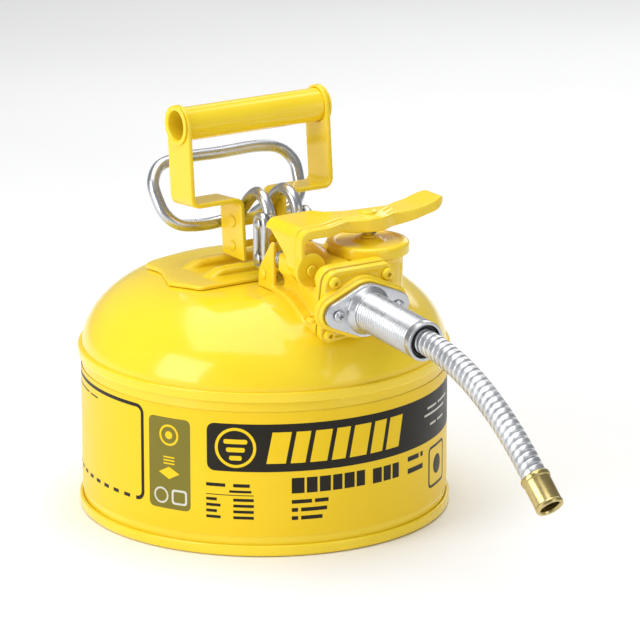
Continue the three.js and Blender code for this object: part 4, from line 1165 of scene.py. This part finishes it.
# ---- pour valve
def make_valve():
    """Disc, rubber face, stem, cross pin and the spring that holds the valve shut."""
    disc_r, back = 15.6, -PLATE_T
    seal = fillet([(10, back - 2.3), (disc_r - 0.4, back - 2.3), (disc_r - 0.4, back - GAP),
                   (10, back - GAP)], 0.7, 4)
    piece(lathe(seal, 72, PLATE_FRAME), "valve_face_seal", RUBBER, "pour_valve", ["valve_seal"])
    disc = fillet([(3.3, back - 2.6), (disc_r, back - 2.6), (disc_r, back - 4.8),
                   (disc_r - 1.5, back - 5.4), (6, back - 5.4), (5.4, back - 8),
                   (3.3, back - 8)], 0.5, 3)
    piece(lathe(disc, 72, PLATE_FRAME), "valve_plate", STEEL, "pour_valve", ["valve_disc"])
    end = -STEM_END - 3.4
    stem = turned([(0, end), (3, end), (3, back - 2.5), (6, back - 2.5), (6, back - 0.8),
                   (0, back - 0.8)], [0, 1.2, 0, 0.4, 0.6, 0], 4, 48, PLATE_FRAME)
    stem = cut(solid(stem), rod(1.6, -10, 10, STEM_PIN_AXIS))
    piece(stem, "valve_rod", STEEL, "pour_valve", ["valve_stem"])
    pin = turned([(0, -7.4), (1.4, -7.4), (1.4, 7.4), (0, 7.4)], [0, 0.4, 0.4, 0], 3, 32,
                 STEM_PIN_AXIS)
    piece(pin, "valve_cross_pin", STEEL, "pour_valve", ["stem_pin"])
    rest, front = -CHAMBER_BACK + 1.2, back - 10
    spring = coil((5.6, rest, front, 8, 28, 0.1), PLATE_FRAME, 0.95, "valve_return_spring", "can",
                  "valve_spring")
    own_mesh(spring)


def hanging_cup(x, y, rim, r, top, bottom):
    """A flame arrester: a cup of perforated sheet that hangs by its rim."""
    inside, floor = r - 1, bottom + 1.2
    return turned(
        [(0, bottom), (r, bottom), (r, top), (rim, top), (rim, top + 1.2), (inside, top + 1.2),
         (inside, floor), (0, floor)], [0, 2.5, 0, 0.4, 0.4, 0.6, 2, 0], 4, 72, at(x, y))


def make_arresters():
    fill = hanging_cup(FILL.x, FILL.y, NECK_BORE - 0.4, 15, 160 + GAP, 70)
    piece(fill, "fill_flame_arrester", MESH_STEEL, "can", ["fill_arrester"])
    pour = hanging_cup(POUR_X, 0, 14.4, 12, SEAM_TOP + DOME_RISE + GAP, 88)
    piece(pour, "pour_flame_arrester", MESH_STEEL, "can", ["pour_arrester"])
    tube = fillet([(2.5, 52), (3.4, 52), (3.4, 150), (2.5, 150)], 0.3, 3)
    piece(lathe(tube, 40, at(*VENT)), "air_tube", STEEL, "can", ["vent_tube"])


make_valve()
make_arresters()


# ---- fill cap and lever
def make_cap():
    """Pressed cap with a rolled rim, its gasket and its centre stud."""
    brim = CAP_Z - 1.9
    cap = turned(
        [(0, CAP_Z), (CAP_R - 1.4, CAP_Z), (CAP_R - 1.4, brim), (CAP_R, brim),
         (CAP_R, CAP_TOP - 0.2), (CAP_R - 4.4, CAP_TOP), (CAP_R - 5.6, CAP_TOP - 0.7),
         (11, CAP_TOP - 0.4), (7.5, CAP_TOP + 1.6), (0, CAP_TOP + 1.6)],
        [0, 0.3, 0.6, 0.6, 3, 1.2, 1.2, 3, 1.5, 0], 7, 144, FILL_AXIS)
    piece(cap, "filler_cap", YELLOW, "cap", ["fill_cap"], 60)
    gasket = fillet([(NECK_BORE - 1, NECK_TOP + GAP), (NECK_R + 1.4, NECK_TOP + GAP),
                     (NECK_R + 1.4, CAP_Z - 0.1), (NECK_BORE - 1, CAP_Z - 0.1)], 0.5, 4)
    piece(lathe(gasket, 96, FILL_AXIS), "filler_gasket", RUBBER, "cap", ["cap_gasket"])
    stud = turned(
        [(0, CAP_TOP + 1.7), (5.4, CAP_TOP + 1.7), (5.4, CAP_TOP + 2.9), (STUD_R, CAP_TOP + 3.3),
         (STUD_R, BOSS_TOP + GAP), (6, BOSS_TOP + GAP), (5.6, BOSS_TOP + 1.5),
         (3.4, BOSS_TOP + 2.2), (0, BOSS_TOP + 2.2)],
        [0, 0.3, 0.5, 0.5, 0.3, 0.4, 0.9, 1, 0], 4, 56, FILL_AXIS)
    piece(stud, "cap_centre_stud", YELLOW, "cap", ["cap_stud"])
    spring = coil((4.8, CAP_TOP + 4.6, LEVER_LOW - 1, 1.6, 32, 0.1), FILL_AXIS, 0.6,
                  "relief_spring", "lid", "cap_relief_spring")
    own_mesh(spring)


def lever_plan():
    """Plan outline of the lever: wide at the hinge, a waist over the cap and a round finger tab."""
    tab = arc(*FINGER_TAB, 11.8, 11.6, 0, math.pi, 16)
    points = [(52, -30), (90, -30), (90, -8), (82, 12), (87, 24), (87.5, 36), (82, 47), (85, 60),
              *tab, (62, 60), (66, 47), (62, 36), (60, 20), (52, 10)]
    radii = [0, 0, 8, 8, 10, 10, 12, 16, *[0] * 17, 16, 12, 10, 10, 10]
    return [point[:2] for point in fillet(points, radii, 6)]


def lever_side(wall, thick, top):
    """Side outline of the lever in YZ: its end wall, the flat over the cap and the raised tab."""
    outer, inner = WALL_Y + wall, WALL_Y + wall + thick
    under = 201.8 - thick
    points = [(outer, HINGE_Z), (outer, LEVER_TOP - top), (16, LEVER_TOP - top), (50, 205 - top),
              (66, 206.6 - top), (82, 211 - top), (87, 208.6), (80, 203), (64, 199.2), (50, 196.2),
              (34, LEVER_LOW), (14, LEVER_LOW + 0.4), (4, under), (inner, under),
              (inner, HINGE_Z)]
    return fillet(points, [0, 7, 20, 40, 40, 2.4, 2.4, 20, 30, 30, 30, 10, 6, 4, 0], 7)


def make_lever():
    """Finger lever of the lid with its knuckle and the boss of the stud."""
    def alongside(r, x0, x1):
        return rod(r, x0, x1, HINGE_AXIS, 64)

    def pressed(side, plan, top):
        return common(solid(prism_x(side, 46, 92)), solid(prism(plan, 150, top)))

    plate = pressed(lever_side(0, 3.4, 0), lever_plan(), 222)
    raised = fillet([(50, -33), (84.5, -33), (84.5, -10), (77, 9), (81, 22), (80, 36), (72, 50),
                     (69, 50), (66, 36), (64, 22), (57, 8), (50, 4)],
                    [0, 0, 8, 8, 8, 8, 3, 3, 8, 8, 6, 0], 6)
    rib = pressed(lever_side(-1.3, 3, -1.5), raised, 215)
    slant = prism_y([(40, 170), (KNUCKLE_X0, 170), (KNUCKLE_X0, 185), (69, 189), (56, 199),
                     (40, 199)], -34, -10)
    boss = turned([(0, 198), (11.5, 198), (10.5, BOSS_TOP), (0, BOSS_TOP)], [0, 0, 1.4, 0], 5, 64,
                  FILL_AXIS)
    lever = fused([plate, solid(boss), rib, alongside(8, KNUCKLE_X0, 90),
                   alongside(11, 86.4, 90)], 0.6)
    lever = bored(lever, [solid(slant), alongside(2.9, 40, 100),
                          rod(STUD_R + 0.5, 180, 220, FILL_AXIS)])
    piece(soften(lever, 0.55, 5), "finger_lever", CAST_YELLOW, "lid", ["lid_lever"], NO_EDGES)


def make_hinge():
    pin = turned([(0, 53), (2.5, 53), (2.5, 90.3), (3.7, 90.3), (3.5, 91.6), (0, 91.8)],
                 [0, 0.4, 0, 0.3, 0.9, 0], 4, 40, HINGE_AXIS)
    piece(pin, "hinge_pin", YELLOW, "can", ["lid_hinge_pin"])
    coil((4.6, LUG_X0 - 5, LUG_X0 - 1.2, 2.2, 32), HINGE_AXIS, 0.75, "hinge_spring", "can",
         "lid_spring")


make_cap()
make_lever()
make_hinge()


# ---- studio
def make_floor():
    half = 6.0
    bm = bmesh.new()
    corners = [(-half, -half), (half, -half), (half, half), (-half, half)]
    bm.faces.new([bm.verts.new((x, y, -0.0002)) for x, y in corners])
    floor = loose(bm, "floor")
    material, tree, bsdf = shader("floor_pale", (0.95, 0.95, 0.95), 0.0, 0.75)
    drift_color(tree, bsdf, noise(tree, 3, 2), (0.93, 0.93, 0.93), (0.96, 0.96, 0.96))
    floor.data.materials.append(material)


def softbox(name, place, aim, width, height, power):
    light = bpy.data.lights.new(name, "AREA")
    light.shape = "RECTANGLE"
    light.size = width
    light.size_y = height
    light.energy = power
    lamp = bpy.data.objects.new(name, light)
    lamp.location = place
    lamp.rotation_euler = (Vector(aim) - Vector(place)).to_track_quat("-Z", "Y").to_euler()
    SCENE.collection.objects.link(lamp)


def make_lights():
    aim = (0.02, 0.0, 0.12)
    softbox("overhead", (-0.1, -0.1, 1.9), aim, 2.2, 1.7, 30)
    softbox("key", (0.1, -1.6, 0.7), aim, 0.9, 1.2, 15)
    softbox("fill", (1.7, 0.5, 0.5), aim, 0.7, 0.9, 4)
    softbox("rim", (-0.9, 1.2, 0.9), aim, 0.8, 0.8, 4)
    world = bpy.data.worlds.new("studio")
    world.use_nodes = True
    background = world.node_tree.nodes["Background"]
    set_inputs(background, {"Color": (0.97, 0.98, 1.0, 1), "Strength": 0.34})
    SCENE.world = world


make_floor()
make_lights()
